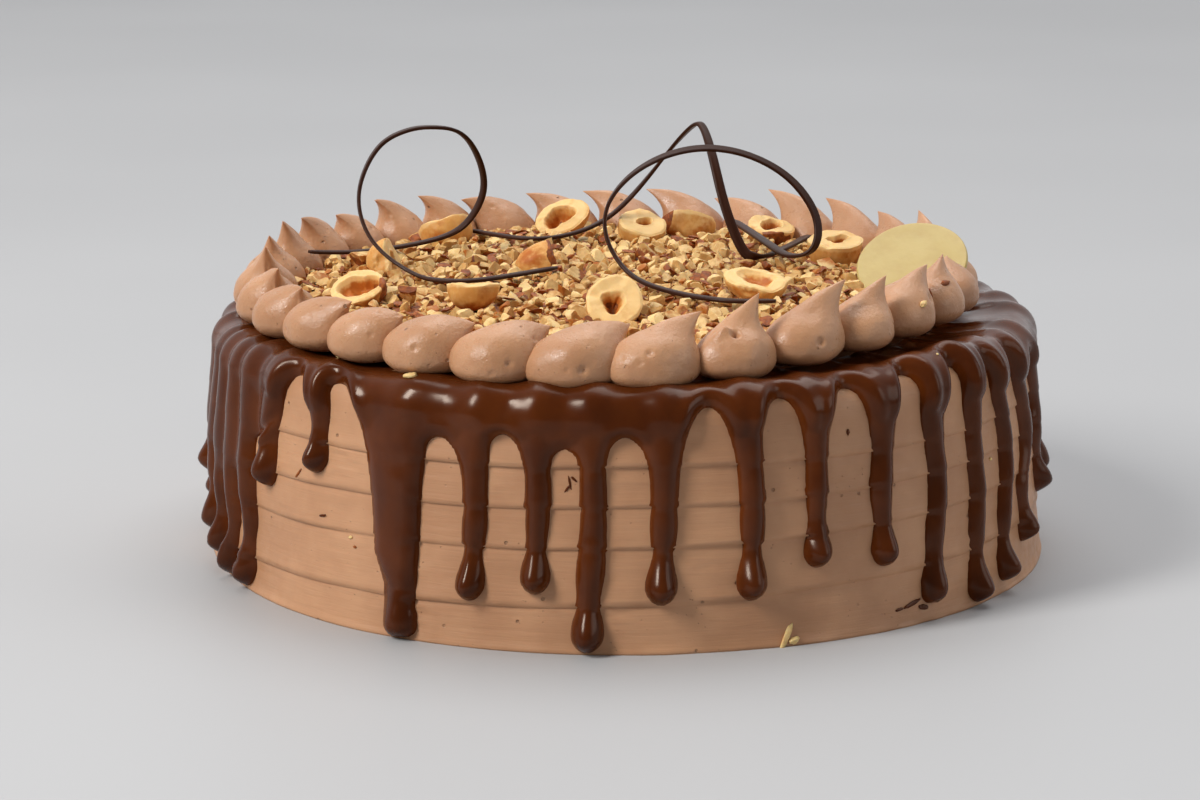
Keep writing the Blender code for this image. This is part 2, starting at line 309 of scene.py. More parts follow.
class Bench:
    """A new Principled material with short ways to add and link its nodes."""

    def __init__(self, name: str) -> None:
        """Start a material.

        Args:
            name: Its name.
        """
        self.material = bpy.data.materials.new(name)
        self.material.use_nodes = True
        self.tree = self.material.node_tree
        self.shader = self.tree.nodes["Principled BSDF"]
        self.place = self.tree.nodes.new("ShaderNodeTexCoord").outputs["Object"]

    def set(self, **values: float | tuple) -> None:
        """Set the shader's sockets, named with underscores for spaces."""
        for name, value in values.items():
            self.shader.inputs[name.replace("_", " ")].default_value = value

    def dress(self, colour: Socket, normal: Socket, rough: Socket, **values: float | tuple) -> Material:
        """Finish the material.

        Args:
            colour: Its base colour.
            normal: Its bumped normal.
            rough: Its roughness.
            **values: The shader's other sockets, named with underscores for spaces.

        Returns:
            The material.
        """
        for source, target in ((colour, "Base Color"), (normal, "Normal"), (rough, "Roughness")):
            self.tree.links.new(source, self.shader.inputs[target])
        self.set(**values)
        return self.material

    def node(self, kind: str, sources: dict[str | int, Source], **settings: str | bool) -> bpy.types.Node:
        """Add a node.

        Args:
            kind: Its type, without the leading ShaderNode.
            sources: What its inputs are linked or set to, by name or number.
            **settings: Its properties.

        Returns:
            The node.
        """
        made = self.tree.nodes.new("ShaderNode" + kind)
        for name, value in settings.items():
            setattr(made, name, value)
        for name, source in sources.items():
            socket = made.inputs[name]
            if isinstance(source, Socket):
                self.tree.links.new(source, socket)
            else:
                socket.default_value = (*source, 1.0) if socket.type == "RGBA" else source
        return made

    def stretched(self, scale: Colour, place: Socket | None = None) -> Socket:
        """Scale coordinates, the object's own unless others are given."""
        return self.node("Mapping", {"Vector": place or self.place, "Scale": scale}).outputs["Vector"]

    def cloud(
        self, scale: float, detail: float = 2.0, roughness: float = 0.5, place: Socket | None = None
    ) -> Socket:
        """Noise between 0 and 1, with about scale cells to the metre."""
        look = {"Vector": place or self.place, "Scale": scale, "Detail": detail, "Roughness": roughness}
        return self.node("TexNoise", look).outputs["Fac"]

    def cells(self, scale: float) -> Socket:
        """Distance to the nearest of scattered spots, with about scale spots to the metre."""
        look = {"Vector": self.place, "Scale": scale, "Randomness": 1.0}
        return self.node("TexVoronoi", look).outputs["Distance"]

    def attribute(self, name: str) -> Socket:
        """The number stored on the mesh under that name."""
        return self.node("Attribute", {}, attribute_name=name).outputs["Fac"]

    def span(
        self, source: Socket, low: float, high: float, to_low: float = 0.0, to_high: float = 1.0
    ) -> Socket:
        """Map the range from low to high onto another one, clamped and eased."""
        ends = {"Value": source, "From Min": low, "From Max": high, "To Min": to_low, "To Max": to_high}
        return self.node("MapRange", ends, interpolation_type="SMOOTHSTEP").outputs["Result"]

    def combine(self, kind: str, first: Source, second: Source) -> Socket:
        """Join two values with a Math node of that operation."""
        return self.node("Math", {0: first, 1: second}, operation=kind).outputs["Value"]

    def mix(self, share: Socket, first: Source, second: Source) -> Socket:
        """Mix two colours, the first at 0 and the second at 1."""
        return self.node("Mix", {0: share, 6: first, 7: second}, data_type="RGBA").outputs[2]

    def bump(self, height: Socket, depth: float, under: Socket | None = None, invert: bool = False) -> Socket:
        """Raise the surface by depth millimetres where height is 1, over an earlier bump, or press it in."""
        raised = {"Height": height, "Strength": 1.0, "Distance": depth * MM}
        below = {"Normal": under} if under else {}
        return self.node("Bump", raised | below, invert=invert).outputs["Normal"]


@dataclass(frozen=True)
class Buttercream:
    """Chocolate buttercream: satin, finely grained, with a few burst air bubbles."""

    name: str = "chocolate_buttercream"
    pale: Colour = (0.54, 0.285, 0.15)
    deep: Colour = (0.45, 0.225, 0.113)
    roughness: float = 0.46
    streaks: Colour = (55.0, 55.0, 900.0)  # cells to the metre across and up, as a scraper leaves them
    streak_depth: float = 0.15
    grain_depth: float = 0.02
    bubble_depth: float = 0.3

    def make(self) -> Material:
        """Build the material, and return it."""
        bench = Bench(self.name)
        tone = bench.span(bench.cloud(38.0, 4.0, 0.6), 0.34, 0.68)
        colour = bench.mix(tone, self.deep, self.pale)
        streak = bench.cloud(1.0, 3.0, 0.6, bench.stretched(self.streaks))
        fine = bench.cloud(1700.0, 3.0, 0.65)
        pores = bench.span(bench.cells(640.0), 0.05, 0.12, 0.8, 0.0)
        pores = bench.combine("MULTIPLY", pores, bench.span(bench.cloud(150.0), 0.52, 0.62))
        holes = bench.span(bench.cells(210.0), 0.05, 0.11, 1.0, 0.0)
        holes = bench.combine("MULTIPLY", holes, bench.span(bench.cloud(55.0), 0.44, 0.56))
        holes = bench.combine("MAXIMUM", holes, pores)
        in_shade = tuple(0.45 * part for part in self.deep)
        colour = bench.mix(bench.combine("MULTIPLY", holes, 0.65), colour, in_shade)
        normal = bench.bump(fine, self.grain_depth, bench.bump(streak, self.streak_depth))
        normal = bench.bump(holes, self.bubble_depth, normal, invert=True)
        patchy = bench.cloud(420.0, 3.0, 0.7)
        rough = bench.span(patchy, 0.3, 0.7, self.roughness - 0.08, self.roughness + 0.1)
        return bench.dress(
            colour, normal, rough, Subsurface_Weight=0.12, Subsurface_Radius=(1.0, 0.45, 0.25),
            Subsurface_Scale=1.6 * MM, Specular_IOR_Level=0.45,
        )


@dataclass(frozen=True)
class DarkGlaze:
    """Poured ganache: dark, smooth and softly glossy, warmer where it is thin."""

    name: str = "dark_ganache"
    deep: Colour = (0.058, 0.0115, 0.0018)
    warm: Colour = (0.128, 0.028, 0.0035)
    sheen: Colour = (1.0, 0.87, 0.75)
    roughness: float = 0.2

    def make(self) -> Material:
        """Build the material, and return it."""
        bench = Bench(self.name)
        tone = bench.span(bench.cloud(70.0, 3.0, 0.55), 0.3, 0.72)
        thin = bench.span(bench.attribute("thickness"), 0.4, 2.6, 1.0, 0.0)
        thin = bench.combine("MULTIPLY", thin, 0.5)
        share = bench.combine("ADD", bench.combine("MULTIPLY", tone, 0.45), thin)
        swirl, ripple = bench.cloud(120.0), bench.cloud(900.0)
        patchy = bench.cloud(160.0, 3.0, 0.6)
        rough = bench.span(patchy, 0.3, 0.7, self.roughness - 0.04, self.roughness + 0.07)
        return bench.dress(
            bench.mix(share, self.deep, self.warm), bench.bump(ripple, 0.004, bench.bump(swirl, 0.12)), rough,
            Subsurface_Weight=0.06, Subsurface_Radius=(1.0, 0.3, 0.1), Subsurface_Scale=0.8 * MM,
            Specular_IOR_Level=0.25, Specular_Tint=(*self.sheen, 1.0),
        )


@dataclass(frozen=True)
class NutFlesh:
    """Cream hazelnut flesh with toasted patches and, where marked, brown skin; on the heap's core the same
    marks stand for painted shade.
    """

    name: str
    pale: Colour = (0.52, 0.282, 0.084)
    cream: Colour = (0.81, 0.57, 0.25)
    toasted: Colour = (0.42, 0.135, 0.02)
    skin: Colour = (0.34, 0.088, 0.012)
    skin_dark: Colour = (0.16, 0.038, 0.007)
    grain: float = 1.0  # scale of the surface, 1 for chips

    def make(self) -> Material:
        """Build the material, which reads the attributes tone, toast and skin, and return it."""
        bench = Bench(self.name)
        fleck = bench.cloud(520.0 * self.grain, 4.0, 0.65)
        tone = bench.combine("ADD", bench.attribute("tone"), bench.span(fleck, 0.3, 0.7, -0.25, 0.25))
        flesh = bench.mix(bench.span(tone, 0.0, 1.0), self.cream, self.pale)
        patch = bench.span(bench.cloud(260.0 * self.grain, 3.0, 0.6), 0.35, 0.7, -0.25, 0.35)
        toast = bench.span(bench.combine("ADD", bench.attribute("toast"), patch), 0.25, 0.95)
        flesh = bench.mix(toast, flesh, self.toasted)
        wrinkle = bench.cloud(800.0 * self.grain, 4.0, 0.7)
        bark = bench.mix(bench.span(wrinkle, 0.35, 0.65), self.skin_dark, self.skin)
        ragged = bench.span(fleck, 0.3, 0.7, -0.2, 0.2)
        covered = bench.span(bench.combine("ADD", bench.attribute("skin"), ragged), 0.4, 0.6)
        return bench.dress(
            bench.mix(covered, flesh, bark), bench.bump(wrinkle, 0.05, bench.bump(fleck, 0.09)),
            bench.span(fleck, 0.3, 0.7, 0.42, 0.62), Subsurface_Weight=0.2, Subsurface_Radius=(1.0, 0.6, 0.3),
            Subsurface_Scale=1.2 * MM, Specular_IOR_Level=0.3,
        )


@dataclass(frozen=True)
class RibbonChocolate:
    """Tempered dark chocolate, drawn out so that fine lines run along the ribbon."""

    name: str = "dark_chocolate_ribbon"
    dark: Colour = (0.030, 0.009, 0.004)
    bloom: Colour = (0.055, 0.019, 0.009)

    def make(self) -> Material:
        """Build the material, whose lines follow the attributes along and across, and return it."""
        bench = Bench(self.name)
        way = {"X": bench.attribute("along"), "Y": bench.attribute("across"), "Z": 0.5}
        place = bench.node("CombineXYZ", way).outputs["Vector"]
        line = bench.cloud(1.0, 4.0, 0.65, bench.stretched((0.12, 6.0, 1.0), place))
        dust = bench.cloud(700.0, 3.0, 0.6)
        colour = bench.mix(bench.span(line, 0.35, 0.75), self.dark, self.bloom)
        normal = bench.bump(dust, 0.02, bench.bump(line, 0.05))
        return bench.dress(colour, normal, bench.span(line, 0.3, 0.7, 0.3, 0.46), Specular_IOR_Level=0.13)


@dataclass(frozen=True)
class WhiteChocolate:
    """Pale yellow white chocolate, cast smooth, with faint clouding."""

    name: str = "white_chocolate"
    pale: Colour = (0.50, 0.375, 0.125)
    deep: Colour = (0.455, 0.325, 0.10)

    def make(self) -> Material:
        """Build the material, and return it."""
        bench = Bench(self.name)
        cloud = bench.span(bench.cloud(120.0, 3.0, 0.6), 0.3, 0.7)
        fine = bench.cloud(900.0, 3.0, 0.6)
        return bench.dress(
            bench.mix(cloud, self.deep, self.pale), bench.bump(fine, 0.02, bench.bump(cloud, 0.05)),
            bench.span(fine, 0.3, 0.7, 0.3, 0.42), Subsurface_Weight=0.25, Subsurface_Radius=(1.0, 0.7, 0.35),
            Subsurface_Scale=1.5 * MM, Specular_IOR_Level=0.5,
        )


@dataclass(frozen=True)
class PaleFloor:
    """The plain pale surface that the cake stands on, its colour painted lighter farther back as painted
    light on the far floor.
    """

    name: str = "pale_floor"
    # painted light: the colour runs from near, darker, to far, lighter, standing in for light on the far
    # floor
    near: Colour = (0.42, 0.42, 0.425)
    far: Colour = (0.90, 0.90, 0.90)

    def make(self) -> Material:
        """Build the material, and return it."""
        bench = Bench(self.name)
        way = bench.node("SeparateXYZ", {"Vector": bench.place})
        mottle = bench.span(bench.cloud(3.0), 0.3, 0.7, 0.0, 0.05)
        # painted light: the share rises with distance along Y, so the far floor is painted lighter than the
        # near floor
        share = bench.combine("ADD", bench.span(way.outputs["Y"], 0.3, 4.0), mottle)
        bench.tree.links.new(bench.mix(share, self.near, self.far), bench.shader.inputs["Base Color"])
        bench.set(Roughness=0.55, Specular_IOR_Level=0.3)
        return bench.material


# The cake under its toppings

@dataclass(frozen=True)
class Ledge:
    """The lower edge of one lapped band round the side: its mean height, tilt and waviness."""

    height: float
    rise: float  # how much higher it lies at azimuth 90 than at its mean
    wave: float
    seed: int

    def at(self, azimuth: Values) -> Values:
        """Follow the edge round the cake.

        Args:
            azimuth: Where it is wanted.

        Returns:
            Its height there.
        """
        angle = np.radians(azimuth)
        where = np.stack([2.6 * np.sin(angle), 2.6 * np.cos(angle), np.full_like(angle, 0.37)], axis=1)
        return self.height + self.rise * np.sin(angle) + self.wave * layered_noise(where, 3, self.seed)


@dataclass(frozen=True)
class CakeForm:
    """The form of the frosted cake, which the glaze and the frosting share."""

    foot_radius: float = 105.0
    shoulder_radius: float = 100.0
    height: float = 57.4
    shoulder_round: float = 6.0
    ledges: tuple[Ledge, ...] = (
        Ledge(11.2, 3.3, 0.5, 3),
        Ledge(23.8, 2.4, 0.45, 5),
        Ledge(33.0, 1.9, 0.45, 8),
        Ledge(42.0, 0.4, 0.6, 13),
    )
    ledge_proud: float = 0.56
    ledge_cut: float = 0.08
    proud_height: float = 4.6  # height over which a band stands out above its edge
    cut_height: float = 1.2
    foot_hollow: float = 2.3  # how far the left of the foot stands back

    @property
    def side_height(self) -> float:
        """Height at which the side turns into the shoulder."""
        return self.height - self.shoulder_round

    @property
    def shoulder_path(self) -> float:
        """Length of the way over the rounded shoulder."""
        return math.pi / 2 * self.shoulder_round

    def side_radius(self, height: Measure) -> Measure:
        """Radius of the side, which leans in a little towards the top."""
        return self.foot_radius + (self.shoulder_radius - self.foot_radius) * height / self.height

    def path_at_radius(self, radius: float) -> float:
        """Path length, up the side and over the shoulder, at which the flat top has that radius."""
        return self.side_height + self.shoulder_path + self.top_radius - radius

    @property
    def top_radius(self) -> float:
        """Radius at which the shoulder meets the flat top."""
        return self.side_radius(self.side_height) - self.shoulder_round

    def skin(self, azimuth: Values, path: Values, lift: Measure) -> Points:
        """Points that lie lift above the skin.

        Args:
            azimuth: Azimuths.
            path: Way from the foot up the side, over the shoulder and inwards.
            lift: Height above the skin, square to it.

        Returns:
            Rows of x, y, z.
        """
        bend = np.clip((path - self.side_height) / self.shoulder_round, 0.0, math.pi / 2)
        inwards = np.maximum(path - self.side_height - self.shoulder_path, 0.0)
        upright = np.minimum(path, self.side_height)
        reach = self.shoulder_round + lift
        radius = self.side_radius(upright) - self.shoulder_round + reach * np.cos(bend) - inwards
        return round_z(azimuth, radius, upright + reach * np.sin(bend))

    def swell(self, azimuth: Values, path: Values) -> Values:
        """Slow unevenness of the frosting, which the glaze follows.

        Args:
            azimuth: Azimuths.
            path: Ways from the foot.

        Returns:
            How far the frosting swells there. It stands back at the left of its foot.
        """
        where = self.skin(azimuth, path, 0.0)
        hollow = bell(from_centre(azimuth, -66.0), 24.0) * ease((34.0 - path) / 30.0)
        hollow += 0.45 * bell(from_centre(azimuth, -86.0), 26.0)
        return 0.3 * noise(where / 34.0, 21) + 0.14 * noise(where / 13.0, 22) - self.foot_hollow * hollow

    def relief(self, azimuth: Values, height: Values) -> Values:
        """Relief of the lapped bands.

        Args:
            azimuth: Azimuths.
            height: Their heights on the side.

        Returns:
            How far the frosting stands out there.
        """
        total = np.zeros_like(height)
        for edge in (ledge.at(azimuth) for ledge in self.ledges):
            above = height - edge
            where = np.stack([azimuth / 9.0, edge * 0.7], axis=-1)
            proud = self.ledge_proud * (0.75 + 0.45 * noise(where.reshape(-1, 2), 17).reshape(edge.shape))
            total += np.where(above >= 0, proud * np.exp(-above / self.proud_height), 0.0)
            total -= np.where(above < 0, self.ledge_cut * np.exp(above / self.cut_height), 0.0)
        return total


@dataclass
class FrostedBody:
    """The frosted cake itself, a turned solid with lapped bands, scraper strokes and a lip at its foot."""

    form: CakeForm
    finish: Buttercream
    columns: int = 900
    band_rows: int = 12
    side_rows: int = 8  # above the last ledge
    shoulder_rows: int = 5
    crisp: float = 0.22  # how far under each edge the row below it lies
    lip_height: float = 1.3
    lip_proud: float = 0.7
    stroke_depth: float = 0.085
    smear_depth: float = 0.4
    bed_in: float = 82.0  # inside this radius the top is hidden

    def row_paths(self, azimuth: Values) -> list[Values]:
        """Lay the rows of points on the side and shoulder, with one on each ledge and one just under it.

        Args:
            azimuth: The azimuths that each row has points at.

        Returns:
            Way from the foot along each row.
        """
        low = np.zeros_like(azimuth)
        rows = [low, low + 0.4, low + 0.9, low + self.lip_height]
        below = rows[-1]
        for ledge in self.form.ledges:
            edge = ledge.at(azimuth)
            top = edge - self.crisp
            for share in np.linspace(0, 1, self.band_rows + 1)[1:-1]:
                rows.append(below + (top - below) * (1.0 - (1.0 - share) ** 1.35))
            rows += [top, edge]
            below = edge
        end = np.full_like(azimuth, self.form.side_height)
        rows += [below + (end - below) * share for share in np.linspace(0, 1, self.side_rows + 1)[1:]]
        shoulder = np.linspace(0, self.form.shoulder_path, self.shoulder_rows + 1)[1:]
        return rows + [end + way for way in shoulder]

    def build(self) -> Piece:
        """Make the frosted cake in place of the plain turned solid, and return it."""
        azimuth = np.linspace(-180.0, 180.0, self.columns + 1)
        paths = self.row_paths(azimuth)
        rings = [round_z(azimuth, 0.0, 0.0)]
        rings += [self.form.skin(azimuth, path, self.stroke(azimuth, path)) for path in paths]
        rings += [round_z(azimuth, radius, self.form.height) for radius in (self.bed_in, 0.0)]
        piece = ring_piece("frosted_cake", np.array(rings))
        return finish_piece(piece, self.finish.make(), "frosting", ("cake_body",))

    def stroke(self, azimuth: Values, path: Values) -> Values:
        """Lift of the frosting: lapped bands, long scraper strokes, dents and the squeezed lip.

        Args:
            azimuth: Azimuths.
            path: Ways from the foot.

        Returns:
            The lift there.
        """
        where = self.form.skin(azimuth, path, 0.0)
        side = ease((self.form.side_height - path) / 3.0 + 1.0)
        lift = self.form.relief(azimuth, path) * side + self.form.swell(azimuth, path)
        lift += self.stroke_depth * layered_noise(where / np.array([22.0, 22.0, 1.5]), 3, 31)
        smear = ease(noise(where / np.array([16.0, 16.0, 5.0]), 41) * 2.2 - 0.7)
        lift += self.smear_depth * smear * noise(where / np.array([5.0, 5.0, 0.9]), 42)
        lip = bell(path - 0.5, self.lip_height * 0.7)
        lift += self.lip_proud * lip * (0.55 + 0.45 * noise(where / 9.0, 51))
        return lift


# The poured glaze

@dataclass(frozen=True)
class Arch:
    """The bare arch between two drips: where its top is, and how wide its top bends."""

    azimuth: float
    top: float
    bend: float = 2.1


ROUTE_ROUNDING = 11  # half millimetres each way over which a drip's route is smoothed


@dataclass(frozen=True)
class Drip:
    """One run of glaze down the side, and the arch that follows it towards greater azimuths.

    The route gives the drip's middle from its tip up, each point a way from the foot and an azimuth.
    """

    route: tuple[tuple[float, float], ...]
    width: float
    arch: Arch
    slab: tuple[tuple[float, float, float], ...] = ()  # height above the tip, half widths left and right
    fold: float = 0.0  # height of a fold across its bulb

    @property
    def end(self) -> float:
        """Way from the foot to its tip."""
        return self.route[0][0]

    @property
    def ball(self) -> float:
        """Half the width of the bulb at its end."""
        return 0.56 * self.width

    def middle(self, path: Values) -> Values:
        """Follow its middle, with the corners of its route rounded.

        Args:
            path: Ways from the foot.

        Returns:
            Azimuths of its middle there.
        """
        fine = np.arange(-12.0, 90.0, 0.5)
        bent = np.interp(fine, *zip(*self.route))
        share = np.hanning(2 * ROUTE_ROUNDING + 1)
        bent = np.convolve(np.pad(bent, ROUTE_ROUNDING, mode="edge"), share / share.sum(), mode="valid")
        return np.interp(path, fine, bent)

    def half(self, path: Values, side: int, ledges: tuple[Ledge, ...]) -> Values:
        """Half its width at ways from the foot: its round end, bulb, neck and stem.

        Args:
            path: Ways from the foot.
            side: 1 towards greater azimuths and -1 towards smaller ones.
            ledges: The ledges that it runs over: it spreads on each and narrows below it.

        Returns:
            The half widths, zero below its tip.
        """
        above = np.maximum(path - self.end, 0.0)
        ball, cap = self.ball, 1.15 * self.ball
        if self.slab:
            heights, left, right = zip(*self.slab)
            wide = np.interp(above, heights, right if side > 0 else left)
            ball, cap = wide, 4.6
        else:
            wide = self.width / 2 + (ball - self.width / 2) * bell(above - cap, 1.25 * ball)
            wide = wide - 0.1 * self.width * bell(above - 3.1 * ball, 1.0 * ball)
        past_cap = ease((above - cap) / 3.0)
        for ledge in ledges:
            over = path - float(ledge.at(np.array([self.route[-1][1]]))[0])
            ear = np.where(over > 0, 0.42 * np.exp(-over / 1.2), -0.42 * np.exp(over / 2.4))
            wide = wide + ear * past_cap
        own = np.full_like(path, 3.1 * self.route[0][1] + side)
        wide = wide + 0.28 * noise(np.stack([path / 7.0, own], axis=1), 61) * past_cap
        round_end = np.sqrt(np.clip(1.0 - (1.0 - above / cap) ** 2, 0.0, 1.0))
        return np.where(above < cap, wide * round_end, wide)


FRONT_DRIPS = (
    Drip(((18, -86), (50, -86)), 6, Arch(-81.5, 34)),
    Drip(((7, -77), (30, -76), (50, -75)), 6.8, Arch(-73.9, 30)),
    Drip(((3.4, -71.8), (20, -71), (40, -70.4)), 7, Arch(-68.6, 25)),
    Drip(((0.4, -67.9), (6, -67), (15.5, -64.6), (23, -65.4), (40, -65)), 7.2, Arch(-62.9, 28)),
    Drip(((0.5, -61), (6, -60.4), (17.5, -58.8), (25, -59.6), (37, -59.8)), 7.4, Arch(-56.8, 38.5)),
    Drip(((27.5, -54.2), (42, -53.8), (50, -52.9)), 7, Arch(-48.4, 55.8), fold=12),
    Drip(((34, -43.6), (46.5, -42.9), (54, -43.8)), 6.4, Arch(-40.6, 56, 3.6)),
    Drip(
        ((0.2, -28.3), (28, -28), (50, -28.4)), 9, Arch(-23.9, 46.8, 2.4),
        ((0, 4.6, 4.7), (4.5, 3.3, 3.6), (12, 2.7, 3.2),
         (19, 8.5, 3.4), (36, 8.5, 4.1), (50, 8.5, 5.3)),
    ),
    Drip(((10.5, -19.2), (31.5, -18.5), (50, -18.6)), 6.4, Arch(-15.2, 48.5)),
    Drip(((13, -10.8), (35, -10.5), (50, -10.6)), 6.4, Arch(-7.2, 45.5)),
    Drip(((0.2, -4.3), (31, -3.5), (50, -3.6)), 6.8, Arch(0.4, 48.5, 2.4)),
    Drip(((11, 4.8), (33, 5.2), (50, 5.4)), 6.8, Arch(11, 55, 1.9)),
    Drip(((11, 16.2), (34.5, 16.7), (52, 16.2)), 6.7, Arch(20.7, 56.3, 1.9)),
    Drip(((17, 25.2), (42, 25.5), (54, 25.2)), 6.4, Arch(30.6, 57.3, 1.8)),
    Drip(((15, 35.2), (34, 35), (50.5, 35.8), (56, 35.4)), 6.5, Arch(41, 58.6, 1.5)),
    Drip(((4, 42.9), (19, 44), (33.5, 45.2), (48.5, 44.1), (56, 45)), 6.6, Arch(50.3, 58.2, 1.3)),
    Drip(((0.6, 52.7), (14.5, 52.7), (28, 53.6), (42, 53.2), (55, 53.2)), 6.6, Arch(57, 55.8, 1.3)),
    Drip(((2.5, 60.5), (14, 60.2), (30.5, 61.9), (41, 62), (49, 60.4)), 6.2, Arch(64.5, 55.5, 1.4)),
    Drip(
        ((9, 67.6), (13, 68.6), (24.5, 67.2), (32, 70.6), (40, 71), (53.5, 67.6)), 5.8,
        Arch(74, 52),
    ),
    Drip(((16, 80.3), (32.5, 78.4), (43, 79.8), (53.5, 76)), 6.2, Arch(84.5, 50)),
)
BACK_DRIPS = 20
BACK_FROM, BACK_TO = 86.5, 268.0
DRIP_SEED = 11


@dataclass
class PouredGlaze:
    """The glaze as one skin of uneven thickness, wrapped over the shoulder and down the side."""

    form: CakeForm
    finish: DarkGlaze
    columns: int = 900
    cell: float = 0.7
    inner_radius: float = 78.0
    working_radius: float = 103.0
    base: float = 1.7  # thickness over the shoulder
    rib: float = 1.3  # extra thickness where a drip is fed
    least_gap: float = 0.62  # half the narrowest gap between two drips
    side_points: int = 260  # outline points on each side of a drip
    all_glaze: float = 63.0  # way from the foot above which the glaze has no gaps
    overlap: float = 12.0  # how far the outline is laid past the back, where its ends meet
    on_rim: float = 0.08  # how near the outline a point counts as lying on it
    reach_in: float = 0.9  # how far the inner side reaches into the frosting
    thickest: float = 5.2

    def __post_init__(self) -> None:
        """Add the drips of the far side, which the front doesn't show, and lay the outline out."""
        rng = np.random.default_rng(DRIP_SEED)
        self.drips = list(FRONT_DRIPS)
        pitch = (BACK_TO - BACK_FROM) / BACK_DRIPS
        for index in range(BACK_DRIPS):
            azimuth = BACK_FROM + pitch * (index + 0.5) + rng.uniform(-1.1, 1.1)
            end, sway, top = rng.uniform(2.0, 30.0), rng.uniform(-1.2, 1.2), rng.uniform(46.0, 56.5)
            route = ((end, azimuth), (end + 18.0, azimuth + sway), (52.0, azimuth))
            gap = BACK_FROM + pitch * (index + 1.0) + rng.uniform(-0.5, 0.5)
            self.drips.append(Drip(route, rng.uniform(5.9, 7.0), Arch(gap, top)))
        self.tree, self.edge_points = self.lay_outline()

    def across(self, azimuth: Values, centre: Measure) -> Values:
        """Way along the side from an azimuth, in millimetres."""
        return np.radians(from_centre(azimuth, centre)) * self.working_radius

    def lay_outline(self) -> tuple[KDTree, Points]:
        """Lay close points along the glaze's whole lower edge.

        Returns:
            A tree of the points, each at its way round and its way up, and rows of way round, way
            up and the unit vector out of the glaze.
        """
        steps = (1.0 - np.cos(math.pi * np.linspace(0.0, 1.0, self.side_points))) / 2
        rows = []
        for drip, following in zip(self.drips, self.drips[1:] + self.drips[:1]):
            arch, sides = drip.arch, []
            for run, side in ((drip, 1), (following, -1)):
                path = run.end + (arch.top - run.end) * steps
                edge = self.across(run.middle(path), arch.azimuth)
                edge = edge + side * run.half(path, side, self.form.ledges)
                gap = np.maximum(-side * edge, self.least_gap)
                drop = 2.0 * arch.bend * (arch.top - path) / gap**2
                way = -side * gap * np.sqrt(1.0 - np.exp(-(drop + drop**2 / 2)))
                sides.append(np.stack([way + math.radians(arch.azimuth) * self.working_radius, path], axis=1))
            line = np.concatenate([sides[0], sides[1][-2::-1]])
            ahead = np.gradient(line, axis=0)
            ahead /= np.maximum(np.linalg.norm(ahead, axis=1), 1e-9)[:, None]
            rows.append(np.column_stack([line, ahead[:, 1], -ahead[:, 0]]))
        rows = np.concatenate(rows)
        full = 2 * math.pi * self.working_radius
        rows[:, 0] = (rows[:, 0] + full / 2) % full - full / 2
        left = rows[rows[:, 0] > full / 2 - self.overlap]
        right = rows[rows[:, 0] < self.overlap - full / 2]
        rows = np.concatenate([rows, left - [full, 0, 0, 0], right + [full, 0, 0, 0]])
        tree = KDTree(len(rows))
        for spot, (way, path, _, _) in enumerate(rows):
            tree.insert((way, path, 0.0), spot)
        tree.balance()
        return tree, rows

    def nearest(self, azimuth: Values, path: Values) -> tuple[Values, Points]:
        """Find the outline near points.

        Args:
            azimuth: Azimuths.
            path: Ways from the foot.

        Returns:
            Way round of each point, and the outline's row that lies nearest to it.
        """
        way = self.across(azimuth, 0.0)
        found = [self.tree.find((x, y, 0.0))[1] for x, y in zip(way.tolist(), path.tolist())]
        return way, self.edge_points[found]

    def depth(self, azimuth: Values, path: Values) -> Values:
        """Distance of points from the outline.

        Args:
            azimuth: Azimuths.
            path: Ways from the foot.

        Returns:
            How deep inside they lie, negative outside it.
        """
        result = np.full_like(path, 12.0)
        low = path < self.all_glaze
        way, row = self.nearest(azimuth[low], path[low])
        right, up = way - row[:, 0], path[low] - row[:, 1]
        out = right * row[:, 2] + up * row[:, 3]
        away = np.hypot(right, up)
        result[low] = np.where(away > 0.4, -np.sign(out) * away, -out)
        return result

    def feed(self, azimuth: Values, path: Values) -> tuple[Values, Values]:
        """Thickness that the drips give the glaze.

        Args:
            azimuth: Azimuths.
            path: Ways from the foot.

        Returns:
            Thickness in the middle of the nearest drip, and the height of the ribs that feed the drips.
        """
        bulk, ribs = np.zeros_like(path), np.zeros_like(path)
        for drip in self.drips:
            near = np.abs(self.across(azimuth, drip.route[-1][1])) < 30.0
            if not near.any():
                continue
            there = path[near]
            way = self.across(azimuth[near], drip.middle(there))
            half = (drip.half(there, 1, ()) + drip.half(there, -1, ())) / 2
            above = there - drip.end
            fat = 0.75 + 0.6 * np.minimum(half, 3.7) + 1.7 * bell(above - drip.ball, 1.1 * drip.ball)
            if drip.fold:
                slant = above - drip.fold - 0.9 * way
                fat += 0.9 * bell(slant, 1.5) * bell(way, 3.0) - 0.7 * bell(slant - 3.0, 1.6)
            bulk[near] = np.maximum(bulk[near], fat * bell(way, np.maximum(half, 2.0) * 1.6))
            rib = ease((there - 38.0) / 14.0) * ease((68.0 - there) / 9.0)
            ribs[near] = np.maximum(ribs[near], bell(way, 3.2 + 0.35 * half) * rib)
        return bulk, ribs

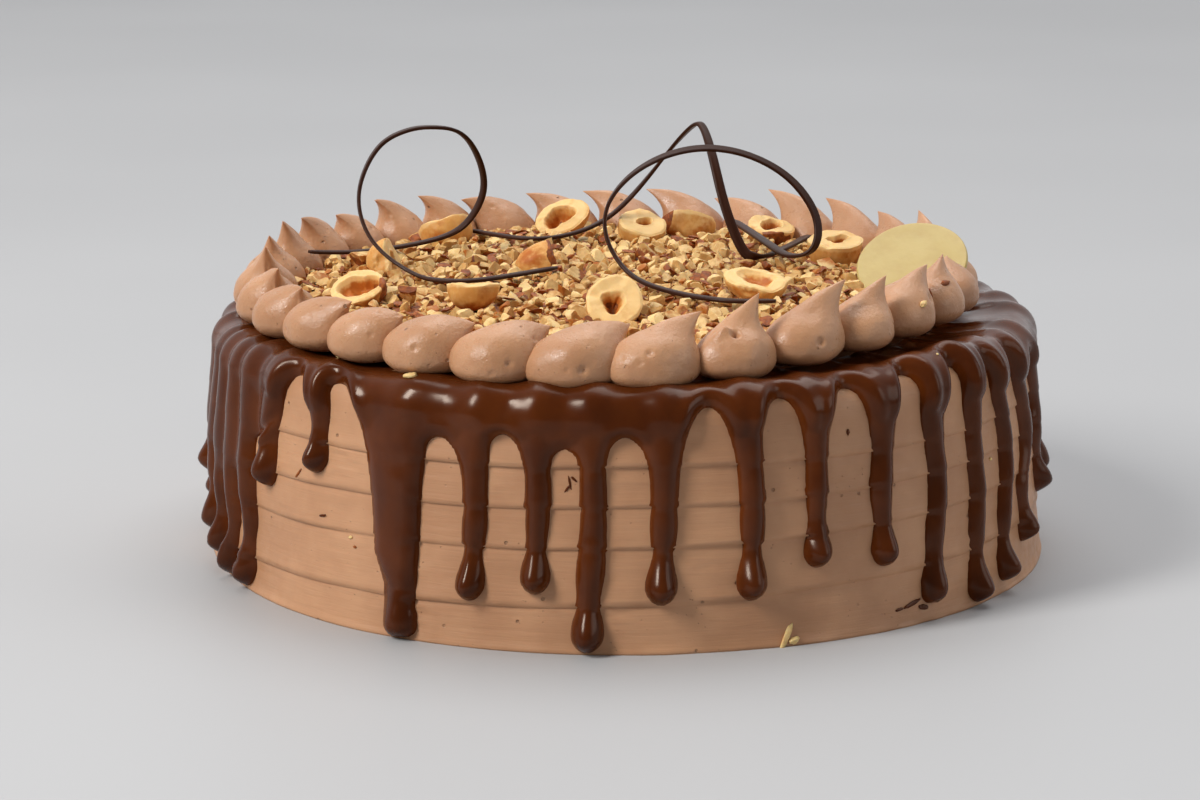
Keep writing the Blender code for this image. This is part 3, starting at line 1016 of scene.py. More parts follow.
    def build(self) -> Piece:
        """Trim a flat grid to the glaze's outline, wrap it round the cake and return it."""
        top = self.form.path_at_radius(self.inner_radius)
        fine = np.arange(0.0, self.all_glaze + 1.0, self.cell)
        levels = np.concatenate([fine, np.linspace(fine[-1], top, 6)[1:]])
        around = np.linspace(-180.0, 180.0, self.columns + 1)
        grid = {"x_subdivisions": self.columns, "y_subdivisions": len(levels) - 1, "size": 1.0}
        piece = add_primitive("glaze", bpy.ops.mesh.primitive_grid_add, **grid)
        azimuth, path = (part[:, :-1] for part in np.meshgrid(around, levels))
        azimuth, path, kept = self.trim(azimuth, path)
        whole = [np.concatenate([part, part[:, :1]], axis=1) for part in (azimuth, path, kept)]
        whole[0][:, -1] += TURN
        flat = np.stack([whole[0].ravel() / MM, whole[1].ravel() / MM, np.zeros(whole[0].size)], axis=1)
        write_points(piece, flat)
        choose(piece, ~whole[2].ravel())
        make_active(piece)
        with edit_mode("KEEP"):
            bpy.ops.mesh.delete(type="VERT")
        self.drop_outer_faces(piece)
        return self.wrap(piece)

    def trim(self, azimuth: Points, path: Points) -> tuple[Values, Values, Values]:
        """Fit the grid to the outline.

        Args:
            azimuth: The grid's azimuths.
            path: Ways from the foot.

        Returns:
            Both with the rim moved onto the outline, and which points are kept.
        """
        inside = self.depth(azimuth.ravel(), path.ravel()).reshape(azimuth.shape) > 0
        kept = inside.copy()
        for up, right in itertools.product((-1, 0, 1), repeat=2):
            moved = np.roll(inside, right, axis=1)
            if up:
                moved = np.roll(moved, up, axis=0)
                moved[0 if up > 0 else -1] = False
            kept |= moved
        rim = kept & ~inside
        azimuth, path = azimuth.copy(), path.copy()
        for turn in range(5):
            if turn:
                azimuth, path = self.relax(azimuth, path, kept)
            way, row = self.nearest(azimuth[rim], path[rim])
            azimuth[rim] += np.degrees((row[:, 0] - way) / self.working_radius)
            path[rim] = row[:, 1]
        return azimuth, np.maximum(path, 0.15), kept

    def relax(self, azimuth: Points, path: Points, kept: Values) -> tuple[Values, Values]:
        """Even out the grid by moving each point that is kept towards its neighbours' mean.

        Args:
            azimuth: The grid's azimuths.
            path: Ways from the foot.
            kept: Which points are kept.

        Returns:
            The new azimuths and ways.
        """
        weight = np.zeros(kept.shape)
        turn_sum = np.zeros(kept.shape)
        path_sum = np.zeros(kept.shape)
        for axis, shift in ((0, 1), (0, -1), (1, 1), (1, -1)):
            there = np.roll(kept, shift, axis=axis).astype(float)
            if axis == 0:
                there[0 if shift > 0 else -1] = 0.0
            turn_sum += there * from_centre(np.roll(azimuth, shift, axis=axis), azimuth)
            path_sum += there * (np.roll(path, shift, axis=axis) - path)
            weight += there
        weight = np.maximum(weight, 1.0)
        move = np.where(kept & (path < 60.5), 0.5, 0.0)
        return azimuth + move * turn_sum / weight, path + move * path_sum / weight

    def drop_outer_faces(self, piece: Piece) -> None:
        """Delete the faces whose corners all lie on the outline, which stand outside it.

        Args:
            piece: The trimmed grid, with azimuths as its x and ways from the foot as its y.
        """
        points = read_points(piece) * MM
        on_rim = self.depth(points[:, 0], points[:, 1]) < self.on_rim
        mesh = piece.data
        corners = np.empty(len(mesh.loops), np.int32)
        mesh.loops.foreach_get("vertex_index", corners)
        chosen = on_rim[corners.reshape(-1, 4)].all(axis=1)
        choose(piece, np.zeros(len(mesh.vertices), bool))
        mesh.polygons.foreach_set("select", chosen)
        make_active(piece)
        bpy.ops.object.mode_set(mode="EDIT")
        bpy.ops.mesh.select_mode(type="FACE")
        bpy.ops.mesh.delete(type="FACE")
        bpy.ops.object.mode_set(mode="OBJECT")

    def thickness(self, azimuth: Values, path: Values) -> tuple[Values, Values]:
        """Thickness of the glaze, with its rounded edges.

        Args:
            azimuth: Azimuths.
            path: Ways from the foot.

        Returns:
            The thickness, and how far it has risen from its edge, from 0 to 1.
        """
        depth = self.depth(azimuth, path)
        bulk, ribs = self.feed(azimuth, path)
        on_top = ease((path - 42.0) / 10.0)
        share = np.clip(depth / (3.6 - 0.9 * on_top), 0.0, 1.0)
        risen = np.sqrt(1.0 - (1.0 - share) ** 2)
        body = self.base + self.rib * ribs + 0.75 * bell(depth - 2.6, 1.8)
        body += 0.55 * bell(path - 56.0, 4.0)
        body += 1.4 * bell(self.across(azimuth, 50.0), 20.0) * bell(path - 61.0, 5.0)
        body -= 0.9 * bell(from_centre(azimuth, -85.0), 26.0)
        body = np.maximum(body * on_top, np.minimum(bulk, self.thickest))
        where = self.form.skin(azimuth, path, 0.0)
        body *= 1.0 + 0.09 * noise(where / 9.0, 71) + 0.03 * noise(where / 4.0, 72)
        body *= 1.0 - 0.45 * ease((path - 63.0) / 8.0)
        return body * risen, risen

    def wrap(self, piece: Piece) -> Piece:
        """Give the trimmed sheet its thickness and wrap it round the cake.

        Args:
            piece: The sheet, with azimuths as its x and ways from the foot as its y.

        Returns:
            The finished glaze.
        """
        flat = read_points(piece) * MM
        apply_modifier(piece, "SOLIDIFY", thickness=1.0, offset=-1.0)
        azimuth, path = flat[:, 0], flat[:, 1]
        thick, risen = self.thickness(azimuth, path)
        swell = self.form.swell(azimuth, path)
        relief = 0.22 * self.form.relief(azimuth, path) * ease((self.form.side_height - path) / 3.0 + 1.0)
        outer = self.form.skin(azimuth, path, relief + swell + thick - 0.3 * (1.0 - risen))
        inner = self.form.skin(azimuth, path, swell - self.reach_in)
        outer[:, 2] = np.maximum(outer[:, 2], 0.25)
        inner[:, 2] = np.maximum(inner[:, 2], 0.35)
        write_points(piece, np.concatenate([outer, inner]))
        mark(piece, "thickness", np.concatenate([thick, thick]))
        close_and_turn_out(piece)
        return finish_piece(piece, self.finish.make(), "ganache", ("ganache",))


# The piped ring

class Pull(Enum):
    """How the piping bag left a dollop, with how fast its tip falls off into it.

    The numbers are the fall-off towards the dollop's start, sideways and down its tail, in degrees
    seen from its middle.
    """

    PEAK = (26.0, 10.5, 9.0)  # drawn up to a sharp point
    HOOKED = (36.0, 13.0, 7.0)  # drawn up and over, like the crest of a wave
    LOW = (30.0, 15.0, 14.0)  # drawn out into a low tail


@dataclass(frozen=True)
class Horn:
    """A drawn-out point: its place from the dollop's middle, and its pull."""

    along: float
    across: float
    height: float
    pull: Pull = Pull.PEAK
    share: float = 1.0  # share of the full spread


@dataclass(frozen=True)
class Dent:
    """A burst bubble or a hollow in a dollop: its place from the dollop's middle and its size."""

    along: float
    across: float
    height: float
    radius: float
    depth: float


@dataclass(frozen=True)
class Dollop:
    """One piped dollop: how its tip was drawn out, where it ends, and what marks it."""

    pull: Pull
    ahead: float  # degrees round the ring from its middle to its tip
    tip: float  # height of its tip above the ground
    hook: float = 1.2  # how far the tip bends over
    lean: float = 0.0  # how far inwards the tip lies
    bulb: float = 12.2
    move: tuple[float, float, float] = (0.0, 0.0, 0.0)  # how far along, outwards and up it sits off the ring
    longer: float = 0.0
    crease: float = 0.0  # depth of the fold that runs from its tip down its tail
    horns: tuple[Horn, ...] = ()
    dents: tuple[Dent, ...] = ()


PEAK, HOOKED, LOW = Pull.PEAK, Pull.HOOKED, Pull.LOW
# How many dollops follow each other at each spacing, in degrees, from the first boundary on.
DOLLOP_RUNS = ((6, 11.9), (3, 12.7), (8, 11.85), (8, 10.4625), (6, 12.0))
FIRST_BOUNDARY = 1.4
DOLLOPS = (
    Dollop(
        PEAK, 7.2, 74.2, 0.8, 0, 11.8, (-0.9, 2.8, -1.7), 1.3,
        dents=(Dent(-3, -6.6, 6.6, 0.9, 0.7), Dent(-1.2, -6.4, 8.6, 0.8, 0.6)),
    ),
    Dollop(
        PEAK, 4.9, 77.8, 0.5, 0, 11.2, (0.9, 1.4, -0.7), 0.4,
        horns=(Horn(-3.8, -3, 12.6, PEAK, 0.8),), dents=(Dent(-1.6, -3.9, 10.6, 1, 1.6),),
    ),
    Dollop(PEAK, 9.2, 78.4, 1.5, 0, 11.6, (2.2, -0.6, 0.8), 1, dents=(Dent(-0.8, -7.2, 5.6, 0.95, 1.1),)),
    Dollop(
        PEAK, 7, 77.5, 1, 0, 11, (2.8, -1.4, 1.6), -0.3,
        dents=(Dent(1.5, -7, 4.4, 0.8, 0.7), Dent(5, -6.2, 4.6, 0.7, 0.6)),
    ),
    Dollop(PEAK, 8.6, 77, 1.6, 0, 11.4, (2.9, -1.8, 2.2), dents=(Dent(2.6, -6, 8.4, 1.2, 0.7),)),
    Dollop(PEAK, 5.7, 77.6, 1.2, 0, 11.2, (2.8, -1.2, 2.2)),
    Dollop(PEAK, 5, 74, 0.8, 1, 11, (2.4, -0.6, 1.6)),
    Dollop(PEAK, 5, 75, 1, 1, 11, (1.6, 0, 1)),
    Dollop(HOOKED, 5.6, 79.6, 2.4, move=(0.8, 0, 0.4)),
    Dollop(HOOKED, 7, 76.4, 2),
    Dollop(HOOKED, 8.4, 77.4, 2.6),
    Dollop(HOOKED, 8.6, 77.6, 2.6),
    Dollop(HOOKED, 8, 74.5, 2),
    Dollop(HOOKED, 8.6, 76, 2.4),
    Dollop(HOOKED, 8.8, 75.6, 2.6),
    Dollop(HOOKED, 7.6, 75.4, 2.4),
    Dollop(HOOKED, 8.2, 74.6, 2.2),
    Dollop(HOOKED, 6.2, 76.8, 2.6),
    Dollop(HOOKED, 6, 77.6, 2.8),
    Dollop(HOOKED, 5.8, 75.4, 2.4),
    Dollop(HOOKED, 6.6, 77, 2),
    Dollop(PEAK, 4.6, 78.2, 1.6, bulb=11.6),
    Dollop(PEAK, 4, 77, 1.2, bulb=11.4),
    Dollop(PEAK, 5.6, 77.2, 1, bulb=11.2, crease=0.5),
    Dollop(PEAK, 5.8, 74.4, 0.8, 0.6, 11, crease=0.5),
    Dollop(PEAK, 5.8, 72.6, 0.5, 0.6, 11, crease=0.4, dents=(Dent(-3.4, -6.6, 4.2, 0.7, 0.7),)),
    Dollop(PEAK, 8.2, 72.3, 0.8, 0.6, 11, crease=0.3),
    Dollop(LOW, 6.6, 70.6, 0.4, 1.6, 11.2, (0, 0.4, 0), crease=0.4),
    Dollop(LOW, 7.4, 70.4, 0.3, 3, 11.6, (0, 1.4, -0.7), 0.3, dents=(Dent(1.6, -7, 6.6, 0.8, 0.6),)),
    Dollop(LOW, 7.8, 70.6, 0.3, 3.6, 11.9, (0, 2.5, -1.3), 0.6, dents=(Dent(5, -6.4, 5.4, 0.8, 0.6),)),
    Dollop(
        LOW, 8.6, 71.2, 0.3, 4.2, 12.1, (-0.4, 2.8, -1.7), 0.9, crease=0.5,
        dents=(Dent(2.6, -7, 5, 1, 0.7), Dent(-0.4, -7.4, 5.2, 0.7, 0.5)),
    ),
)


@dataclass
class PipedRing:
    """The ring of piped dollops round the top."""

    finish: Buttercream
    centre_x: float = -3.6
    centre_y: float = -3.5
    radius: float = 84.5
    foot: float = 60.0
    sink: float = 0.9  # how far each foot reaches into the glaze
    middle: float = 3.6  # height of a dollop's middle above its foot
    half_width: float = 8.0
    under: float = 4.5  # reach of the rounded underside below the middle
    overlap: float = 0.5
    segments: int = 112
    rings: int = 72
    pits: int = 5
    squareness: float = 2.15  # exponent of its round body, 2 for an ellipsoid
    droop: float = 0.12  # how far a hooked tip bends down, as a share of its hook
    seed: int = 12

    def build(self) -> list[Piece]:
        """Make every dollop in place of its plain solid, and return them all."""
        rng = np.random.default_rng(self.seed)
        material = self.finish.make()
        pitches = [pitch for count, pitch in DOLLOP_RUNS for _ in range(count)]
        boundary, pieces = FIRST_BOUNDARY, []
        for index, (pitch, dollop) in enumerate(zip(pitches, DOLLOPS)):
            pieces.append(self.build_one(index, boundary + pitch / 2, pitch, dollop, material, rng))
            boundary += pitch
        return pieces

    def build_one(
        self, index: int, azimuth: float, pitch: float, dollop: Dollop, material: Material, rng: Rng
    ) -> Piece:
        """Make one dollop from a ball whose pole becomes its tip.

        Args:
            index: Its place in the ring, from 0.
            azimuth: Azimuth of its middle about the ring's centre.
            pitch: Its share of the circle.
            dollop: How it was piped.
            material: Its finish.
            rng: Source of its small differences.

        Returns:
            The finished piece.
        """
        ball = {"segments": self.segments, "ring_count": self.rings, "radius": MM}
        piece = add_primitive(f"dollop_{index + 1:02d}_piped", bpy.ops.mesh.primitive_uv_sphere_add, **ball)
        half = math.radians(pitch) * self.radius / 2 + self.overlap + dollop.longer
        local = self.shape(read_points(piece), half, dollop, rng) + np.array([1.0, -1.0, 1.0]) * dollop.move
        turned = azimuth + np.degrees(local[:, 0] / self.radius)
        place = round_z(turned, self.radius - local[:, 1], self.foot + local[:, 2])
        write_points(piece, place + np.array([self.centre_x, self.centre_y, 0.0]))
        close_and_turn_out(piece)
        return finish_piece(piece, material, "frosting", (f"dollop_{index + 1:02d}",))

    def shape(self, ball: Points, half: float, dollop: Dollop, rng: Rng) -> Points:
        """Shape a unit ball into a dollop.

        Args:
            ball: The ball's points.
            half: Half the dollop's length along the ring.
            dollop: How it was piped.
            rng: Source of its small differences.

        Returns:
            Rows of along, across and up, from its foot.
        """
        along, out, up = dollop.move
        tip = Horn(
            math.radians(dollop.ahead) * self.radius - dollop.hook - along, dollop.lean + out,
            dollop.tip - self.foot + self.droop * dollop.hook - up, dollop.pull,
        )
        way = self.turn_pole(ball, self.aim(tip))
        reach = self.body(way, half, dollop.bulb)
        total = reach.copy()
        for horn in (tip, *dollop.horns):
            total = np.maximum(total, reach + self.horn_height(way, horn, half, dollop))
        phase = rng.uniform(0, 50, 3)
        total *= 1.0 + 0.035 * noise(way * 1.5 + phase, 7) + 0.010 * noise(way * 4.5 + phase, 8)
        total += 0.05 * noise(way * np.array([9.0, 26.0, 26.0]) + phase, 9)
        points = way * total[:, None]
        bent = np.clip((total / np.linalg.norm(self.offset(tip)) - 0.6) / 0.4, 0.0, 1.1) ** 2.2
        points[:, 0] += dollop.hook * bent
        points[:, 2] += self.middle - self.droop * dollop.hook * bent
        points = self.press_pits(points, dollop, rng)
        ragged = 0.3 * noise(points * np.array([0.5, 0.5, 0.0]) + phase, 10)
        points[:, 2] = np.maximum(points[:, 2], -self.sink + np.clip(ragged, 0.0, 1.0))
        return points

    def offset(self, horn: Horn) -> Values:
        """Way from the dollop's middle to a horn's point."""
        return np.array([horn.along, horn.across, horn.height - self.middle])

    def aim(self, horn: Horn) -> Values:
        """Unit vector from the dollop's middle to a horn's point."""
        return unit(self.offset(horn))

    def square_to(self, aim: Values) -> tuple[Values, Values]:
        """Unit vectors square to aim: the one over the dollop's crest, and the one to its side."""
        crest = unit(np.array([-aim[2], 0.0, aim[0]]))
        return crest, np.cross(aim, crest)

    def turn_pole(self, ball: Points, aim: Values) -> Points:
        """Turn a ball so that its upper pole looks along aim, and crowd its rings towards it.

        Args:
            ball: The ball's points.
            aim: The way that the pole looks.

        Returns:
            The turned points.
        """
        polar = np.arccos(np.clip(ball[:, 2], -1.0, 1.0)) / math.pi
        polar = math.pi * polar**1.3
        around = np.arctan2(ball[:, 1], ball[:, 0])
        crest, side = self.square_to(aim)
        flat = np.cos(around)[:, None] * crest + np.sin(around)[:, None] * side
        return np.cos(polar)[:, None] * aim + np.sin(polar)[:, None] * flat

    def body(self, way: Points, half: float, bulb: float) -> Values:
        """Distance from the middle of a dollop to its rounded body.

        Args:
            way: Unit directions.
            half: Half the dollop's length.
            bulb: Height of its body.

        Returns:
            The distance in each direction.
        """
        along, across, up = way.T
        length = np.where(along > 0, half, half + 0.3)
        width = self.half_width * (1.0 - 0.2 * np.clip(along, 0.0, 1.0) ** 1.5)
        level = np.hypot(along / length, across / width)
        rise = np.where(up > 0, (bulb - self.middle) * (1.0 + 0.10 * along), self.under)
        power = self.squareness
        return (level**power + np.abs(up / rise) ** power) ** (-1.0 / power)

    def horn_height(self, way: Points, horn: Horn, half: float, dollop: Dollop) -> Values:
        """How far a horn stands out of the body.

        Args:
            way: Unit directions.
            horn: The horn.
            half: Half the dollop's length.
            dollop: How it was piped.

        Returns:
            Its height in each direction.
        """
        aim = self.aim(horn)
        crest, side = self.square_to(aim)
        polar = np.degrees(np.arccos(np.clip(way @ aim, -1.0, 1.0)))
        over, beside = way @ crest, way @ side
        size = np.maximum(np.hypot(over, beside), 1e-9)
        over, beside = over / size, beside / size
        to_start, to_side, to_tail = (spread * horn.share for spread in horn.pull.value)
        fall = polar * np.hypot(over / np.where(over > 0, to_start, to_tail), beside / to_side)
        height = np.linalg.norm(self.offset(horn)) - self.body(aim[None, :], half, dollop.bulb)[0]
        fold = bell(polar * beside - 2.0, 2.6) - 0.8 * bell(polar * beside + 2.5, 3.0)
        fold *= bell(polar - 24.0, 16.0) * (over < 0)
        return np.maximum(height, 0.5) * np.exp(-fall) + dollop.crease * fold

    def press_pits(self, points: Points, dollop: Dollop, rng: Rng) -> Points:
        """Press the dollop's own dents and a few random pits into its surface.

        Args:
            points: Its points.
            dollop: The dollop.
            rng: Source of the pits.

        Returns:
            The moved points.
        """
        outwards = unit(points - np.array([0.0, 0.0, self.middle]))
        spots = list(dollop.dents)
        for _ in range(self.pits):
            spot = points[rng.integers(len(points))]
            spots.append(Dent(*spot, rng.uniform(0.45, 0.75), rng.uniform(0.25, 0.5)))
        for dent in spots:
            away = np.linalg.norm(points - np.array([dent.along, dent.across, dent.height]), axis=1)
            inside = np.clip(1.0 - (away / (1.45 * dent.radius)) ** 2, 0.0, 1.0) ** 2
            points = points - dent.depth * inside[:, None] * outwards
        return points


# Nuts

@dataclass(frozen=True)
class HalfNut:
    """One halved hazelnut: its place, its pose and what its cut face shows."""

    x: float
    y: float
    top: float  # height of its highest point
    length: float
    azimuth: float  # where the cut face looks
    elevation: float
    spin: float = 0.0  # turns its pointed end round the face, from the face's right side
    dome: float = 0.95  # depth of its rounded side, as a share of half its length
    hollow: float = 0.45  # width of the cavity, as a share of the face
    depth: float = 0.42
    slope: float = 0.45  # width of the cavity's slope, as a share of its own
    corners: float = 0.0  # how far the cavity is drawn out into three corners
    toast: float = 0.35
    ragged: float = 0.12
    skin: tuple[float, float, float] = (0.0, 0.0, 0.0)  # direction of a patch of skin, none at zero
    band: float = 0.0  # depth of a band of skin under the rim
    broken: float = 1.0  # share of its width that is left on one side

    @property
    def turn(self) -> Values:
        """Rotation from the nut's own axes, its cut face up, to its pose."""
        pose = Euler((math.radians(90.0 - self.elevation), 0.0, math.radians(self.azimuth)))
        own = Euler((0.0, 0.0, math.radians(self.spin)))
        return np.array(pose.to_matrix()) @ np.array(own.to_matrix())


HALF_NUTS = (
    HalfNut(-63.5, -31.5, 73.2, 12.8, -35, 56, 200, 0.9, 0.66, 0.5, 0.5, 0.05, 0.6, 0.16, (-0.9, -0.3, -0.3)),
    HalfNut(-57.4, 5.5, 75.3, 11.4, 78, 12, 80, 1.15, 0.4, 0.3, toast=0.3, ragged=0.3, broken=0.85),
    HalfNut(-46.6, 49.5, 75, 14.2, 212, 50, 10, 0.95, 0.5, 0.4, toast=0.25),
    HalfNut(-35.6, -42, 73.4, 11.6, 182, 80, 180, 1.05, 0.5, 0.4, toast=0.3),
    HalfNut(-17.2, 8.5, 74.4, 9.8, 98, 10, 40, 1.9, 0.5, 0.4, toast=0.6, ragged=0.3, band=0.34),
    HalfNut(-16.5, 64.5, 75.4, 13.4, -24, 52, 38, 0.9, 0.56, 0.6, 0.7, 0.12, 0.8, 0.2),
    HalfNut(-1.8, -55, 76.2, 14, 10, 46, 68, 0.8, 0.40, 0.46, 1.1, 0.12, 1.1, 0.14),
    HalfNut(5.6, 50.5, 74.8, 13, 28, 70, 200, 1.35, 0.28, 0.6, 0.6, 0.1, 1, 0.2),
    HalfNut(18, 63, 74.2, 13.8, 172, 52, 20, 0.95, 0.6, 0.5, ragged=0.4, skin=(0.95, 0.2, 0.2)),
    HalfNut(32.5, -30.5, 73.7, 13.8, 12, 74, 150, 0.85, 0.55, 0.28, 0.9, 0.12, 0.2, 0.3, broken=0.85),
    HalfNut(39.5, 53.5, 72.8, 13.4, 40, 80, 30, 0.95, 0.5, 0.4, 0.45, 0, 0.9, 0.3, (-0.6, -0.7, -0.3)),
    HalfNut(54.5, 19, 74.4, 13.4, 14, 76, 190, 1.4, 0.34, 0.4, 0.7, 0.2, 0.95, 0.25),
)


@dataclass
class HazelnutHalves:
    """The halved hazelnuts that lie on the chopped nuts."""

    finish: NutFlesh
    segments: int = 96
    rings: int = 88
    edge: float = 0.955  # share of the face at which its rim is cut
    sharp: float = 48.0  # angle in degrees from which its edges stay sharp

    def build(self) -> list[Piece]:
        """Make every half in place of its plain solid, and return them all."""
        material = self.finish.make()
        return [self.build_one(index, nut, material) for index, nut in enumerate(HALF_NUTS)]

    def build_one(self, index: int, nut: HalfNut, material: Material) -> Piece:
        """Make one half from a ball whose upper side is pressed into a cut face with a cavity.

        Args:
            index: Its place in the list, from 0.
            nut: What the half is like.
            material: Its finish.

        Returns:
            The finished half.
        """
        ball = {"segments": self.segments, "ring_count": self.rings, "radius": MM}
        piece = add_primitive(f"hazelnut_{index + 1:02d}_half", bpy.ops.mesh.primitive_uv_sphere_add, **ball)
        local, hollow = self.shape(read_points(piece), nut, 3.7 * index)
        placed = local * (nut.length / 2) @ nut.turn.T
        placed += np.array([nut.x, nut.y, nut.top - placed[:, 2].max()])
        write_points(piece, placed)
        self.colour(piece, local, hollow, nut, index)
        close_and_turn_out(piece)
        make_active(piece)
        bpy.ops.object.shade_smooth_by_angle(angle=math.radians(self.sharp))
        return finish_piece(piece, material, "hazelnut", (f"hazelnut_{index + 1:02d}",), smooth=False)

    def shape(self, ball: Points, nut: HalfNut, phase: float) -> tuple[Points, Values]:
        """Shape a unit ball into a half nut of unit radius with its cut face up.

        Args:
            ball: The ball's points.
            nut: What the half is like.
            phase: Shift of the noise, so that no two halves are alike.

        Returns:
            The points, and how deep in the cavity each lies, from 0 to 1.
        """
        x, y, z = ball.T
        upper = z > 1e-4
        around = np.arctan2(y, x)
        polar = np.arccos(np.clip(z, -1.0, 1.0))
        round_ = np.stack([np.cos(around), np.sin(around), np.full_like(x, phase)], axis=1)
        across = np.where(upper, polar / (math.pi / 2), np.sin(polar) ** 0.85)
        flat = np.stack([across * round_[:, 0], across * round_[:, 1], round_[:, 2]], axis=1)
        face = 0.04 * noise(flat * 2.6, 3) - 0.035 * ease((across - self.edge + 0.06) / 0.08)
        long_way, short_way = 1.16 - nut.corners, 0.86 + 0.5 * nut.corners
        stretch = np.hypot((flat[:, 0] + 0.05) / long_way, (flat[:, 1] - 0.03) / short_way)
        uneven = nut.ragged * (noise(round_ * 1.2 + 5.0, 11) + 0.4 * noise(round_ * 3.5, 12))
        edge = nut.hollow * (1.0 + uneven + nut.corners * np.cos(3.0 * around + 2.0))
        hollow = np.where(upper, ease((edge - stretch) / (nut.slope * nut.hollow) + 0.3), 0.0)
        lip = 0.03 * bell(stretch - 1.12 * edge, 0.06)
        floor = nut.depth * (1.0 + 0.3 * noise(flat * 2.5, 13) + 0.12 * noise(flat * 7.0, 20))
        shell = -0.8 * nut.dome * np.sqrt(np.clip(1.0 - across**2, 0.0, 1.0)) - 0.035
        height = np.where(upper, np.maximum(face + lip - floor * hollow, shell), -0.05)
        height = np.where(upper, height, -0.05 - nut.dome * np.abs(np.cos(polar)) ** 0.96)
        sides = np.where(upper, 1.0, 1.0 - np.abs(np.cos(polar)))
        swell = 1.0 + 0.07 * noise(round_ * 1.2, 14) + 0.03 * noise(ball * 3.0 + phase, 15)
        swell += 0.014 * noise(ball * np.array([9.0, 9.0, 2.0]) + phase, 25)
        swell += 0.12 * bell(around, 0.6) * sides
        warp = 0.12 * noise(round_ * 1.2 + 2.0, 18) + 0.035 * noise(round_ * 4.0, 19)
        height += warp * across**2 * sides
        local = np.stack([1.03 * flat[:, 0] * swell, 0.93 * flat[:, 1] * swell, height], axis=1)
        if nut.broken < 1.0:
            cut = nut.broken + 0.12 * noise(local * 2.6 + phase, 16) + 0.05 * noise(local * 8.0, 17)
            past = np.maximum(local[:, 1] - cut, 0.0)
            local[:, 1] -= 0.88 * past
        return local, hollow

    def colour(self, piece: Piece, local: Points, hollow: Values, nut: HalfNut, index: int) -> None:
        """Mark where the half is toasted, where it is paler, and where skin is left on it.

        Args:
            piece: The half.
            local: Its points, its cut face up.
            hollow: How deep in the cavity each lies.
            nut: What the half is like.
            index: Its place in the list.
        """
        seed = local + 7.3 * index
        outside = ease((-0.06 - local[:, 2]) / 0.12)
        toast = (0.35 + 0.75 * nut.toast) * (0.45 * hollow + 1.0 * hollow**2) + 0.24 * noise(seed * 2.0, 21)
        toast += 0.3 * bell(local[:, 2] + 0.05, 0.06) * noise(seed * 2.2, 28)
        toast += outside * (0.3 + 0.3 * noise(seed * 1.6, 22)) + 0.2 * ease((-0.5 - local[:, 2]) / 0.5)
        skin = ease((hollow * nut.toast - 0.74 + 0.16 * noise(seed * 7.0, 26)) / 0.16)
        aim = np.array(nut.skin)
        if np.linalg.norm(aim) > 0:
            near = local @ unit(aim) + 0.22 * noise(seed * 2.4, 23)
            skin = np.maximum(skin, ease((near - 0.74) / 0.14))
        if nut.band:
            skin = np.maximum(skin, ease((local[:, 2] + nut.band + 0.2 * noise(seed * 3.0, 27)) / 0.08))
        mark(piece, "tone", 0.05 + 0.8 * outside + 0.18 * noise(seed * 1.5, 24))
        mark(piece, "toast", np.clip(toast, 0.0, 1.0))
        mark(piece, "skin", skin)


@dataclass
class HeightMap:
    """What lies at each place on the top: the heap so far, and what nothing may rise above."""

    reach: float = 80.0
    cell: float = 0.5
    sky: float = 200.0
    packing: float = 0.85  # share of its height by which a chip keeps off the heap below
    cover: float = 0.9  # share of its height by which it raises the heap

    def __post_init__(self) -> None:
        """Lay out the grid, with bare ground and an open sky."""
        self.axis = np.arange(-self.reach, self.reach + self.cell, self.cell)
        self.x, self.y = np.meshgrid(self.axis, self.axis, indexing="ij")
        self.ground = np.zeros_like(self.x)
        self.ceiling = np.full_like(self.x, self.sky)

    def lower(self, mask: Values, height: Measure) -> None:
        """Lower the ceiling to a height where the mask is true."""
        self.ceiling = np.where(mask, np.minimum(self.ceiling, height), self.ceiling)

    def settle(
        self, x: float, y: float, yaw: float, half: Values, sink: float
    ) -> tuple[float, tuple, Values]:
        """Let an ellipsoid down at a place until it touches the heap.

        Args:
            x: Where it comes down.
            y: Where it comes down.
            yaw: How it is turned, in radians.
            half: Its three half sizes, the last one upright.
            sink: How far it sinks in.

        Returns:
            Height of its middle, infinite if it would rise above the ceiling, the grid's window and
            its dome's height over that window, which is negative outside it.
        """
        span = int(math.ceil(max(half[:2]) / self.cell)) + 1
        i = int(round((x + self.reach) / self.cell))
        j = int(round((y + self.reach) / self.cell))
        window = (slice(max(i - span, 0), i + span + 1), slice(max(j - span, 0), j + span + 1))
        right, ahead = self.x[window] - x, self.y[window] - y
        u = (right * math.cos(yaw) + ahead * math.sin(yaw)) / half[0]
        v = (ahead * math.cos(yaw) - right * math.sin(yaw)) / half[1]
        level = 1.0 - u * u - v * v
        dome = np.where(level > 0, half[2] * np.sqrt(np.maximum(level, 0.0)), -1.0)
        inside = dome >= 0
        if not inside.any():
            return math.inf, window, dome
        middle = float((self.ground[window] + self.packing * dome)[inside].max()) - sink
        if ((middle + dome) > self.ceiling[window])[inside].any():
            return math.inf, window, dome
        return middle, window, dome

    def heap(self, window: tuple, dome: Values, middle: float) -> None:
        """Add what has settled to the heap."""
        raised = np.where(dome >= 0, middle + self.cover * dome, -1.0)
        self.ground[window] = np.maximum(self.ground[window], raised)


@dataclass(frozen=True)
class ChipKind:
    """One kind of chopped piece: its share, its size and how it is coloured."""

    name: str
    count: int
    smallest: float  # half length
    largest: float
    flatness: tuple[float, float]
    skin: float  # share of the piece's surface that is skin
    toasted: float  # share of pieces that are toasted
    detail: int = 2
    cuts: int = 3
    slack: float = 0.8  # how far above the heap's level its top may reach


